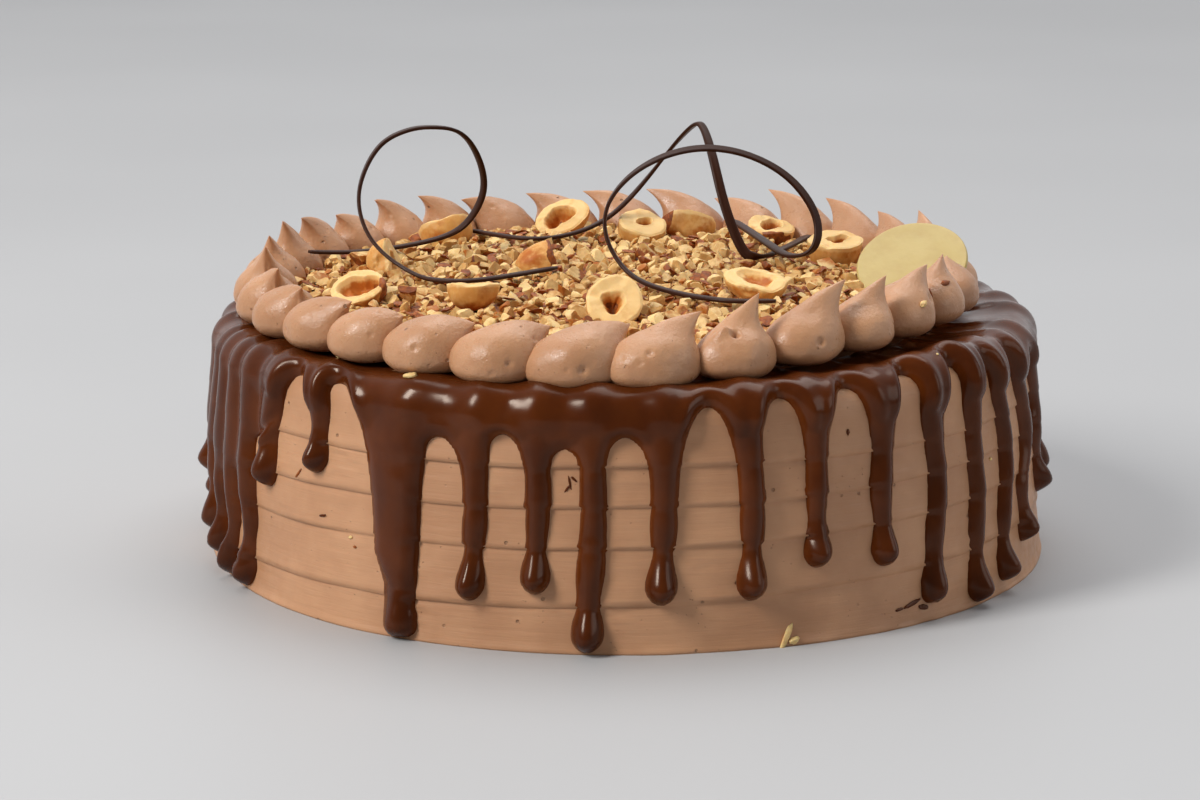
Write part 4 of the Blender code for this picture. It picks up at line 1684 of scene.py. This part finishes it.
CHIP_KINDS = (
    ChipKind("nut_chips", 1400, 1.4, 3.2, (0.65, 0.95), 0.0, 0.34, 2, 5),
    ChipKind("nut_chips_with_skin", 420, 1.2, 2.8, (0.6, 0.9), 0.5, 0.6, 2, 5),
    ChipKind("nut_crumbs", 1500, 0.5, 1.15, (0.55, 0.95), 0.06, 0.3, 1, 2, 1.0),
    ChipKind("nut_skin_flakes", 260, 0.9, 2.2, (0.14, 0.24), 1.0, 0.0, 2, 2, 1.2),
)
# Bits with their skin on that stand out of the heap: x, y and half length.
SKINNED_BITS = (
    (-50.5, -39, 3), (-11.5, -19, 2.5), (40.5, 60, 3.6), (-44, 57, 3.2),
    (-54, 54, 3), (60, 42, 3), (-66, 12, 3), (6, 22, 2.6),
)
SKINNED_SLACK = 9


@dataclass
class NutHeap:
    """The heap of chopped nuts: a core with a lumpy surface, and real chips over it."""

    finish: NutFlesh
    centre_x: float = -3.6
    centre_y: float = -3.5
    radius: float = 77.4
    core_radius: float = 77.0
    edge_height: float = 66.6
    crown: float = 2.0
    far_rise: float = 0.9  # how much higher the heap lies on the far side
    core_drop: float = 2.2
    bottom: float = 59.4
    columns: int = 420
    core_rows: int = 96
    shapes_per_kind: int = 10
    tries: int = 5
    seed: int = 5
    sink: float = 0.25  # how far a chip sinks into what it lies on
    sharp: float = 38.0  # angle in degrees from which a chip's edges stay sharp
    lump: float = 2.4  # width of the core's lumps
    front_reach: float = 0.034  # how much wider the heap is where the dollops stand farther out
    front_azimuth: float = -14.0
    front_width: float = 38.0

    def wider(self, azimuth: Measure) -> Measure:
        """Factor on the heap's radius at azimuths from -180 to 180."""
        return 1.0 + self.front_reach * bell(azimuth - self.front_azimuth, self.front_width)

    def level(self, x: Measure, y: Measure) -> Measure:
        """Height that the heap's top keeps to."""
        share = np.hypot(x - self.centre_x, y - self.centre_y) / self.radius
        return self.edge_height + self.crown * (1.0 - share**5) + self.far_rise * ease((y + 10.0) / 60.0)

    def build(self, map_: HeightMap) -> list[Piece]:
        """Make the core and heap the chips on it.

        Args:
            map_: The map of what lies on the top, with the ceiling already lowered.

        Returns:
            The core and one piece for each kind of chip.
        """
        material = self.finish.make()
        pieces = [self.build_core(material)]
        map_.ground = self.level(map_.x, map_.y) - self.core_drop
        rng = np.random.default_rng(self.seed)
        for kind in CHIP_KINDS:
            shapes = [self.chip_shape(kind, rng) for _ in range(self.shapes_per_kind)]
            pieces.append(self.scatter(kind, shapes, map_, rng, material))
        return pieces

    def build_core(self, material: Material) -> Piece:
        """Make the core in place of the plain bed, its top lumpy like packed chips and coloured dark as
        painted shade in the gaps between them.

        Args:
            material: Its finish.

        Returns:
            The core.
        """
        azimuth = np.linspace(-180.0, 180.0, self.columns + 1)
        radii = self.core_radius * np.sqrt(np.linspace(0.0, 1.0, self.core_rows))
        wider = self.wider(azimuth)
        rings = [round_z(azimuth, radius * wider, self.bottom) for radius in (0.0, self.core_radius)]
        for radius in radii[::-1]:
            ring = round_z(azimuth, radius * wider, 0.0)
            where = ring / self.lump
            lumps = 0.55 * noise(where, 81) + 0.3 * noise(where * 2.1, 82)
            ring[:, 2] = self.level(ring[:, 0] + self.centre_x, ring[:, 1] + self.centre_y) - self.core_drop
            ring[:, 2] += lumps if radius > 0 else 0.0
            rings.append(ring)
        rings = np.array(rings) + np.array([self.centre_x, self.centre_y, 0.0])
        piece = ring_piece("nut_bed_core", rings)
        points = read_points(piece)
        # painted shade: the core is marked deep gold, toasted and patched with skin so that it shows dark in
        # the gaps between the chips
        mark(piece, "tone", 0.9 + 0.4 * noise(points / self.lump, 83))
        mark(piece, "toast", np.clip(0.8 + 0.4 * noise(points / 3.1, 84), 0.0, 1.0))
        mark(piece, "skin", ease((noise(points / 2.2, 85) + 0.05) / 0.1))
        return finish_piece(piece, material, "chopped_nuts", ("nut_bed",))

    def chip_shape(self, kind: ChipKind, rng: Rng) -> Shape:
        """Cut one chip out of a ball with a few planes.

        Args:
            kind: What it is chopped like.
            rng: Source of the cuts.

        Returns:
            Its points, within about one unit of the middle, and its faces.
        """
        ball = {"subdivisions": kind.detail, "radius": 1.0}
        chip = add_primitive("chip", bpy.ops.mesh.primitive_ico_sphere_add, **ball)
        points = read_points(chip) * MM
        points *= 1.0 + rng.uniform(-0.16, 0.16, (len(points), 1))
        write_points(chip, points / MM)
        for _ in range(kind.cuts):
            normal = unit(rng.normal(size=3))
            make_active(chip)
            with edit_mode():
                bpy.ops.mesh.bisect(
                    plane_co=tuple(normal * rng.uniform(0.25, 0.62)), plane_no=tuple(normal),
                    use_fill=True, clear_outer=True,
                )
        points = read_points(chip) * MM
        points -= (points.max(0) + points.min(0)) / 2
        points /= (points.max(0) - points.min(0)) / 2
        points *= 1.0 + 0.05 * rng.uniform(-1, 1, (len(points), 1))
        faces = [tuple(face.vertices) for face in chip.data.polygons]
        bpy.data.objects.remove(chip)
        return points, faces

    def scatter(
        self, kind: ChipKind, shapes: list[Shape], map_: HeightMap, rng: Rng, material: Material
    ) -> Piece:
        """Let one kind of chip down on the heap, each where it comes to lie lowest of a few tries.

        Args:
            kind: The kind of chip.
            shapes: The shapes that it comes in.
            map_: The map of the heap.
            rng: Source of places and turns.
            material: The finish.

        Returns:
            All of them as one piece.
        """
        all_points, all_faces, start = [], [], 0
        marks = {"tone": [], "toast": [], "skin": []}
        bits = SKINNED_BITS if kind.skin == 0.5 else ()
        for count in range(-len(bits), kind.count):
            length = rng.uniform(kind.smallest, kind.largest) * rng.uniform(0.85, 1.0)
            length = bits[count][2] if count < 0 else length
            half = length * np.array([1.0, rng.uniform(0.65, 1.0), rng.uniform(*kind.flatness)])
            best = None
            for _ in range(self.tries):
                radius = self.radius * math.sqrt(rng.uniform(0.0, 1.0))
                around = rng.uniform(0, 2 * math.pi)
                radius *= float(self.wider(from_centre(math.degrees(around), -90.0)))
                x = self.centre_x + radius * math.cos(around)
                y = self.centre_y + radius * math.sin(around)
                if count < 0:
                    x, y = bits[count][:2]
                yaw = rng.uniform(0, math.pi)
                middle, window, dome = map_.settle(x, y, yaw, half, self.sink)
                over = middle + half[2] - self.level(x, y)
                allowed = SKINNED_SLACK if count < 0 else kind.slack
                if over < allowed and (best is None or over < best[0]):
                    best = (over, x, y, yaw, middle, window, dome)
            if best is None:
                continue
            _, x, y, yaw, middle, window, dome = best
            map_.heap(window, dome, middle)
            points, faces = shapes[rng.integers(len(shapes))]
            tilt = Euler((rng.uniform(-0.5, 0.5) + math.pi * rng.integers(2), rng.uniform(-0.5, 0.5), yaw))
            turned = (points * half) @ np.array(tilt.to_matrix()).T
            all_points.append(turned + np.array([x, y, middle]))
            all_faces += [tuple(corner + start for corner in face) for face in faces]
            start += len(points)
            self.colour_chip(kind, points, marks, rng)
        mesh = bpy.data.meshes.new(kind.name)
        mesh.from_pydata((np.concatenate(all_points) * MM).tolist(), [], all_faces)
        piece = bpy.data.objects.new(kind.name, mesh)
        bpy.context.scene.collection.objects.link(piece)
        for name, values in marks.items():
            mark(piece, name, np.concatenate(values))
        log.info("%s: %d of %d lie on the heap", kind.name, len(all_points), kind.count)
        make_active(piece)
        bpy.ops.object.shade_smooth_by_angle(angle=math.radians(self.sharp))
        return finish_piece(piece, material, "chopped_nuts", smooth=False)

    def colour_chip(self, kind: ChipKind, points: Points, marks: dict[str, list], rng: Rng) -> None:
        """Mark one chip's tone, its toasted side and its skinned side.

        Args:
            kind: The kind of chip.
            points: Its points, before it is turned.
            marks: Numbers for each point so far, by attribute name, to which its own are added.
            rng: Source of its colour.
        """
        side = points @ unit(rng.normal(size=3))
        browned = rng.uniform(0.35, 1.0) if rng.uniform() < kind.toasted else rng.uniform(0.0, 0.18)
        marks["tone"].append(np.full(len(points), rng.uniform(0.05, 0.95)))
        marks["toast"].append(np.clip(browned * (0.65 + 0.5 * side), 0.0, 1.0))
        edge = np.cos(math.pi * kind.skin)
        marks["skin"].append(ease((side - edge + 0.1) / 0.2) if kind.skin > 0.1 else np.zeros(len(points)))


# Chocolate trim

# Points on each ribbon's middle line.
CURL_ROUTES = (
    (
        (-79, 11, 70.9), (-65.3, 20, 69.4), (-46.2, 29, 71.4), (-38.8, 30, 76.7), (-35, 27, 86.6),
        (-39.6, 18, 99.9), (-48, 14, 102.2), (-54.4, 10, 101.8), (-61.4, 6, 98), (-65.9, 0, 86.9),
        (-61.8, -6, 75.9), (-51, -13, 69.4), (-43.7, -18, 68.9), (-34.4, -18, 69),
        (-16.4, -4, 69.6),
    ),
    (
        (-40.1, 52, 69.6), (-21.8, 39, 69.2), (-6.3, 47, 71.9), (3.7, 51, 80.2), (12.7, 46, 92.3),
        (18.5, 38, 99.7), (20.9, 34, 99.5), (23.2, 26, 92.8), (26, 19, 81.5), (30.3, 14.5, 71),
        (33.7, 14, 69.1), (38.8, 21, 68.9), (49, 46, 69.2),
    ),
    (
        (29.4, 53, 72.1), (33.6, 39, 71.4), (37.8, 21, 71.1), (42.1, 8, 70.4), (48.1, 5, 72.6),
        (49, 9, 80.3), (42, 11, 90.1), (29.8, 8, 96.8), (16.8, 2, 98.6), (4.4, -7, 95.2),
        (-3.5, -14, 87.7), (-4, -18, 79.4), (1.6, -23, 71.4), (10.8, -33, 69.2), (23.8, -44, 68.9),
        (36.3, -46, 69.2),
    ),
)
# Which way each ribbon is broad, at shares of its length.
CURL_FACES = (
    (
        (0, (-0.4, 0.9, 0)), (0.35, (-0.55, 0.83, 0)), (0.62, (-0.12, 1, 0)), (0.85, (-0.4, 0.9, 0)),
    ),
    (
        (0, (0.6, 0.8, 0)), (0.3, (-0.3, 0.95, 0)), (0.5, (0.5, 0.8, 0)), (0.65, (1, 0.5, 0.3)),
        (1, (0.92, -0.38, 0)),
    ),
    (
        (0, (0.95, 0.3, 0)), (0.35, (0.7, 0.9, 0.1)), (0.5, (0.2, 1, 0.3)), (0.62, (0.1, 1, 0.2)),
        (0.75, (0, 1, 0)), (1, (0.1, 1, 0)),
    ),
)
# How broad each ribbon is, as a share of the usual, at shares of its length.
CURL_WIDTHS = (
    ((0, 1), (0.3, 1.1), (0.6, 0.95), (1, 1)),
    ((0, 1), (0.35, 0.95), (0.7, 1.1), (1, 1)),
    ((0, 1), (0.35, 1.1), (0.7, 0.95), (1, 1)),
)


@dataclass
class RibbonCurls:
    """The three chocolate ribbon curls."""

    finish: RibbonChocolate
    width: float = 2.35
    thickness: float = 0.95
    steps: int = 12  # points between two points of a route
    corners: int = 20  # points round the ribbon
    cup: float = 0.1  # how far the ribbon is cupped across its width
    line_smoothing: int = 26
    face_smoothing: int = 10
    square_edge: float = 0.42  # exponents of the rounded section, 1 for an ellipse
    square_face: float = 0.55

    def route(self, index: int) -> Points:
        """Lay close points along a smooth curve through one route's own points.

        Args:
            index: Which ribbon it is, from 0.

        Returns:
            The points.
        """
        own = np.array(CURL_ROUTES[index])
        own = np.concatenate([[2 * own[0] - own[1]], own, [2 * own[-1] - own[-2]]])
        share = np.linspace(0.0, 1.0, self.steps, endpoint=False)[:, None]
        parts = []
        for a, b, c, d in zip(own, own[1:], own[2:], own[3:]):
            bend = (2 * a - 5 * b + 4 * c - d) * share**2 + (3 * b - 3 * c + d - a) * share**3
            parts.append(0.5 * (2 * b + (c - a) * share + bend))
        line = np.concatenate([*parts, own[-2:-1]])
        for _ in range(self.line_smoothing):
            line[1:-1] += 0.5 * ((line[:-2] + line[2:]) / 2 - line[1:-1])
        return line

    def frames(self, line: Points, index: int, shares: Values) -> tuple[Points, Points]:
        """Find which way the ribbon faces.

        Args:
            line: Points along its middle line.
            index: Which ribbon it is, from 0.
            shares: The share of its length that lies behind each point.

        Returns:
            The way across the ribbon and the way out of its flat side, at each point.
        """
        along = unit(np.gradient(line, axis=0))
        spots, faces = zip(*CURL_FACES[index])
        wanted = np.stack([np.interp(shares, spots, part) for part in zip(*faces)], axis=1)
        across = unit(wanted - along * (wanted * along).sum(1)[:, None])
        for _ in range(self.face_smoothing):
            across[1:-1] = (across[:-2] + 2 * across[1:-1] + across[2:]) / 4
        across = unit(across - along * (across * along).sum(1)[:, None])
        return across, np.cross(across, along)

    def build(self) -> list[Piece]:
        """Make every curl in place of its plain solid, and return them all."""
        material = self.finish.make()
        return [self.build_one(index, material) for index in range(len(CURL_ROUTES))]

    def build_one(self, index: int, material: Material) -> Piece:
        """Sweep a cupped, round-edged section along one route.

        Args:
            index: Which ribbon it is, from 0.
            material: Its finish.

        Returns:
            The finished ribbon.
        """
        line = self.route(index)
        length = np.concatenate([[0.0], np.cumsum(np.linalg.norm(np.diff(line, axis=0), axis=1))])
        across, outwards = self.frames(line, index, length / length[-1])
        from_end = np.minimum(length, length[-1] - length)
        wide = 1.0 + 0.06 * noise(np.stack([length / 14.0, np.full_like(length, index)], axis=1), 5)
        wide *= np.interp(length / length[-1], *zip(*CURL_WIDTHS[index]))
        wide *= 0.62 + 0.38 * ease(from_end / 3.0)
        thick = 0.75 + 0.25 * ease(from_end / 2.0)
        turn = np.linspace(0.0, 2 * math.pi, self.corners + 1)
        side = np.sign(np.cos(turn)) * np.abs(np.cos(turn)) ** self.square_edge
        flat = np.sign(np.sin(turn)) * np.abs(np.sin(turn)) ** self.square_face
        rings = []
        for spot in range(len(line)):
            half = self.width / 2 * wide[spot]
            out = self.thickness / 2 * thick[spot] * flat + self.cup * (side**2 - 0.5)
            rings.append(line[spot] + half * side[:, None] * across[spot] + out[:, None] * outwards[spot])
        caps = [np.repeat(line[end][None, :], len(turn), axis=0) for end in (0, -1)]
        rings = np.array([caps[0], *rings, caps[1]])
        lengths = np.concatenate([[length[0]], length, [length[-1]]])
        marks = {"along": np.repeat(lengths, len(turn)), "across": np.tile(side, len(rings))}
        piece = ring_piece(f"curl_{index + 1}_ribbon", rings, marks)
        return finish_piece(piece, material, "curl", (f"curl_{index + 1}",))


@dataclass
class RoundPlaque:
    """The bare white chocolate disc, pushed into the nuts and tilted towards the viewer."""

    finish: WhiteChocolate
    centre: tuple[float, float, float] = (71.7, -6.0, 71.0)
    radius: float = 13.9
    thickness: float = 1.5
    tilt: float = 36.5
    uphill: float = 20.0
    edge: float = 0.5
    columns: int = 160
    wave: float = 0.09  # unevenness of its face
    out_of_round: float = 0.012

    @property
    def turn(self) -> Values:
        """Rotation from a level disc to the plaque's pose."""
        return np.array(Euler((math.radians(self.tilt), 0.0, -math.radians(self.uphill))).to_matrix())

    def build(self) -> Piece:
        """Make the disc, with rounded edges and a faintly uneven face, and return it."""
        azimuth = np.linspace(-180.0, 180.0, self.columns + 1)
        half = self.thickness / 2
        profile = [(radius, -half) for radius in np.linspace(0.0, self.radius - self.edge, 12)]
        for angle in np.linspace(-80.0, 80.0, 9):
            bend = math.radians(angle)
            profile.append((self.radius - self.edge * (1 - math.cos(bend)), half * math.sin(bend)))
        profile += [(radius, half) for radius in np.linspace(self.radius - self.edge, 0.0, 24)]
        rings = np.array([round_z(azimuth, radius, height) for radius, height in profile])
        flat = rings.reshape(-1, 3)
        flat[:, 2] += self.wave * noise(flat * np.array([0.12, 0.12, 0.0]) + 3.0, 4)
        uneven = self.out_of_round * noise(flat * np.array([0.1, 0.1, 0.0]) + 9.0, 6)
        flat[:, :2] *= (1.0 + uneven)[:, None]
        rings = (flat @ self.turn.T + np.array(self.centre)).reshape(rings.shape)
        return finish_piece(ring_piece("plaque_disc", rings), self.finish.make(), "plaque", ("plaque",))


NUT_ROOM = 0.86  # share of a half nut's length that no chip lies under
CURL_ROOM = 1.7  # how far from a curl's middle line chips stay below it
TAIL_TOP = 76.0  # height below which a curl's tail lies among the chips
PLAQUE_ROOM = 0.4


def lower_ceiling(map_: HeightMap, curls: RibbonCurls, plaque: RoundPlaque) -> None:
    """Keep the chips below the half nuts, the curls' tails and the plaque.

    Args:
        map_: The map of the top.
        curls: The curls.
        plaque: The plaque.
    """
    for nut in HALF_NUTS:
        radius = nut.length / 2 * NUT_ROOM
        away = np.hypot(map_.x - nut.x, map_.y - nut.y)
        map_.lower(away < radius, nut.top - radius - np.sqrt(np.maximum(radius**2 - away**2, 0.0)))
    for index in range(len(CURL_ROUTES)):
        for x, y, z in curls.route(index)[::3]:
            if z < TAIL_TOP:
                map_.lower(np.hypot(map_.x - x, map_.y - y) < CURL_ROOM, z - 0.5)
    normal = plaque.turn[:, 2]
    x, y, z = plaque.centre
    plane = z - ((map_.x - x) * normal[0] + (map_.y - y) * normal[1]) / normal[2]
    in_plane = np.stack([map_.x - x, map_.y - y, plane - z], axis=-1)
    map_.lower(np.linalg.norm(in_plane, axis=-1) < plaque.radius + PLAQUE_ROOM, plane - 1.0)


@dataclass(frozen=True)
class Stray:
    """One stray bit on the outside of the cake: where it sticks, its half sizes and how it is turned."""

    azimuth: float
    height: float
    size: tuple[float, float, float]
    roll: float = 0.0


STRAY_KINDS = {
    "stray_nut_crumbs": (
        Stray(-28.8, 59.6, (1.7, 0.8, 0.6), 0.4), Stray(-44.2, 60.2, (0.7, 0.6, 0.4)),
        Stray(46.7, 61, (0.5, 0.4, 0.3)), Stray(45.6, 61.2, (0.35, 0.3, 0.3)),
        Stray(47.6, 60.6, (0.3, 0.3, 0.2)), Stray(52.4, 70, (1.1, 0.7, 0.6), 0.5),
        Stray(20.7, 2.2, (3, 0.7, 0.5), 1.1),
        Stray(21.6, 1.2, (1.4, 0.7, 0.5), 0.3), Stray(-37, 21, (0.5, 0.35, 0.3)),
        Stray(58, 33, (0.5, 0.4, 0.3)), Stray(128, 30, (1, 0.6, 0.5), 0.7),
        Stray(190, 61, (1.2, 0.8, 0.6), 0.2), Stray(232, 14, (0.8, 0.6, 0.4), 0.9),
    ),
    "stray_skin_bits": (
        Stray(57.9, 71, (1.3, 0.8, 0.4), 0.6), Stray(63.9, 72, (1.2, 0.7, 0.4), 0.2),
        Stray(-47, 33, (1.4, 0.3, 0.2), 0.9), Stray(-36.2, 19, (0.5, 0.3, 0.2)),
        Stray(150, 45, (0.9, 0.5, 0.3), 0.4),
    ),
    "glaze_flecks": (
        Stray(-6.5, 38.4, (0.26, 1.5, 0.2), 0.2), Stray(-6.8, 37.3, (0.24, 0.9, 0.2), -0.6),
        Stray(-6, 39.4, (0.26, 0.8, 0.2), 0.9), Stray(39.6, 5, (2.6, 0.5, 0.3), 0.25),
        Stray(41.6, 3.6, (1.6, 0.6, 0.3), -0.2), Stray(37.4, 4.4, (1.3, 0.35, 0.25), 0.1),
        Stray(-42, 24.6, (1, 0.3, 0.2), 0.2), Stray(30.2, 47, (0.4, 0.6, 0.25)),
    ),
}


@dataclass
class StrayBits:
    """Crumbs, bits of skin and flecks of glaze that stick to the outside of the cake."""

    detail: int = 3
    outside: float = 130.0  # radius that each bit comes in from
    raised: float = 0.35  # share of its half height by which its middle stands out
    lumpy: float = 0.35
    rough: float = 0.15

    def build(self, grounds: list[Piece], finishes: dict[str, tuple[Material, str]]) -> None:
        """Stick every kind on, as one piece for each kind.

        Args:
            grounds: The pieces that they may stick to.
            finishes: Material and slot for each kind's name.
        """
        for name, strays in STRAY_KINDS.items():
            bits = [self.build_one(stray, spot, grounds) for spot, stray in enumerate(strays)]
            deselect_all()
            for bit in bits:
                bit.select_set(True)
            bpy.context.view_layer.objects.active = bits[0]
            bpy.ops.object.join()
            piece = bits[0]
            piece.name = piece.data.name = name
            bare = 1.0 if "skin" in name else 0.0
            for key, value in (("tone", 0.15), ("toast", 0.1), ("skin", bare), ("thickness", 2.0)):
                mark(piece, key, np.full(len(piece.data.vertices), value))
            finish_piece(piece, *finishes[name])

    def build_one(self, stray: Stray, spot: int, grounds: list[Piece]) -> Piece:
        """Make one bit from a ball with a broken surface, and lay it on what stands first on its way in.

        Args:
            stray: The bit.
            spot: Its place in the list, which makes its surface its own.
            grounds: The pieces that it may stick to.

        Returns:
            The bit.
        """
        sphere = {"subdivisions": self.detail, "radius": MM}
        bit = add_primitive("bit", bpy.ops.mesh.primitive_ico_sphere_add, **sphere)
        ball = read_points(bit)
        uneven = self.lumpy * noise(ball * 1.6 + 9.0 * spot, 91) + self.rough * noise(ball * 4.0, 92)
        ball *= (1.0 + uneven)[:, None]
        inwards = round_z(stray.azimuth, -1.0, 0.0)
        start = round_z(stray.azimuth, self.outside, stray.height)
        hits = [ground.ray_cast(Vector(start * MM), Vector(inwards)) for ground in grounds]
        hits = [(np.array(place) / MM, np.array(normal)) for found, place, normal, _ in hits if found]
        place, normal = min(hits, key=lambda hit: np.linalg.norm(hit[0] - start))
        across = unit(np.cross(np.array([0.0, 0.0, 1.0]), normal))
        up = np.cross(normal, across)
        turned = math.cos(stray.roll) * across + math.sin(stray.roll) * up
        axes = np.array([turned, np.cross(normal, turned), normal])
        place = place + self.raised * stray.size[2] * normal
        write_points(bit, (ball * np.array(stray.size)) @ axes + place)
        return bit


# Camera, light and floor

@dataclass(frozen=True)
class Studio:
    """The camera at the photograph's angle, soft lights and a plain pale floor."""

    camera_place: Colour = (0.0, -822.06, 216.12)
    camera_down: float = 12.417
    camera_left: float = 0.385
    lens: float = 100.41
    sensor: float = 36.0
    nearest: float = 0.05  # metres
    farthest: float = 60.0
    floor_size: float = 30.0
    surround: tuple[float, ...] = (0.965, 0.975, 1.0, 1.0)

    def place_camera(self) -> None:
        """Create the camera and make it the scene's."""
        data = bpy.data.cameras.new("photo_camera")
        data.lens = self.lens
        data.sensor_width = self.sensor
        data.sensor_fit = "HORIZONTAL"
        data.clip_start, data.clip_end = self.nearest, self.farthest
        camera = bpy.data.objects.new("photo_camera", data)
        camera.location = Vector(self.camera_place) * MM
        camera.rotation_euler = (math.radians(90.0 - self.camera_down), 0.0, math.radians(self.camera_left))
        bpy.context.scene.collection.objects.link(camera)
        bpy.context.scene.camera = camera

    def hang_light(
        self, name: str, place: Colour, aim: Colour, size: tuple[float, float], watts: float, tint: Colour
    ) -> None:
        """Hang one soft rectangular light.

        Args:
            name: Its name.
            place: Where it hangs, in metres.
            aim: The point that it faces, in metres.
            size: Its width and height, in metres.
            watts: Its power.
            tint: Its colour.
        """
        data = bpy.data.lights.new(name, "AREA")
        data.shape = "RECTANGLE"
        data.size, data.size_y = size
        data.energy = watts
        data.color = tint
        lamp = bpy.data.objects.new(name, data)
        lamp.location = place
        lamp.rotation_euler = (Vector(aim) - Vector(place)).to_track_quat("-Z", "Y").to_euler()
        bpy.context.scene.collection.objects.link(lamp)

    def light(self) -> None:
        """Light the scene: a large soft key from the left, a weak fill and a pale surround."""
        self.hang_light("key", (-1.15, -0.75, 1.15), (0.0, 0.0, 0.04), (0.40, 0.80), 28.0, (1.0, 0.985, 0.96))
        self.hang_light("top", (0.15, 0.5, 1.5), (0.0, 0.0, 0.05), (1.4, 1.0), 13.0, (1.0, 1.0, 1.0))
        self.hang_light("fill", (1.5, -0.6, 0.7), (0.0, 0.0, 0.04), (0.9, 0.9), 4.5, (0.96, 0.98, 1.0))
        world = bpy.data.worlds.new("pale_surround")
        world.use_nodes = True
        tree = world.node_tree
        backdrop = tree.nodes["Background"]
        backdrop.inputs["Color"].default_value = self.surround
        way = tree.nodes.new("ShaderNodeSeparateXYZ")
        tree.links.new(tree.nodes.new("ShaderNodeTexCoord").outputs["Generated"], way.inputs[0])
        ramp = tree.nodes.new("ShaderNodeMapRange")
        tree.links.new(way.outputs["Y"], ramp.inputs["Value"])
        for name, value in (("From Min", -0.3), ("From Max", 0.5), ("To Min", 0.14), ("To Max", 0.8)):
            ramp.inputs[name].default_value = value
        tree.links.new(ramp.outputs["Result"], backdrop.inputs["Strength"])
        bpy.context.scene.world = world
        bpy.context.scene.view_settings.view_transform = "Standard"

    def lay_floor(self) -> None:
        """Lay the pale floor."""
        floor = add_primitive("pale_floor", bpy.ops.mesh.primitive_plane_add, size=self.floor_size)
        floor.data.materials.append(PaleFloor().make())


def main() -> None:
    """Build the cake from the foot up, and report each piece."""
    logging.basicConfig(level=logging.INFO, format="%(name)s: %(message)s")
    form = CakeForm()
    cream = Buttercream()
    studio = Studio()
    studio.place_camera()
    studio.light()
    studio.lay_floor()
    body = FrostedBody(form, cream).build()
    glaze = PouredGlaze(form, DarkGlaze()).build()
    piped = Buttercream(
        "piped_buttercream", roughness=0.34, streaks=(260.0, 260.0, 800.0),
        streak_depth=0.05, grain_depth=0.12,
    )
    dollops = PipedRing(piped).build()
    curls = RibbonCurls(RibbonChocolate())
    plaque = RoundPlaque(WhiteChocolate())
    top = HeightMap()
    lower_ceiling(top, curls, plaque)
    heap = NutHeap(NutFlesh("chopped_nut")).build(top)
    golden = NutFlesh(
        "half_nut", pale=(0.66, 0.325, 0.085), cream=(0.80, 0.53, 0.22),
        toasted=(0.46, 0.13, 0.015), grain=0.9,
    )
    HazelnutHalves(golden).build()
    curls.build()
    plaque.build()
    nut, dark = heap[0].data.materials[0], glaze.data.materials[0]
    StrayBits().build([body, glaze, *dollops], {
        "stray_nut_crumbs": (nut, "chopped_nuts"),
        "stray_skin_bits": (nut, "chopped_nuts"),
        "glaze_flecks": (dark, "ganache"),
    })


if __name__ == "__main__":
    main()
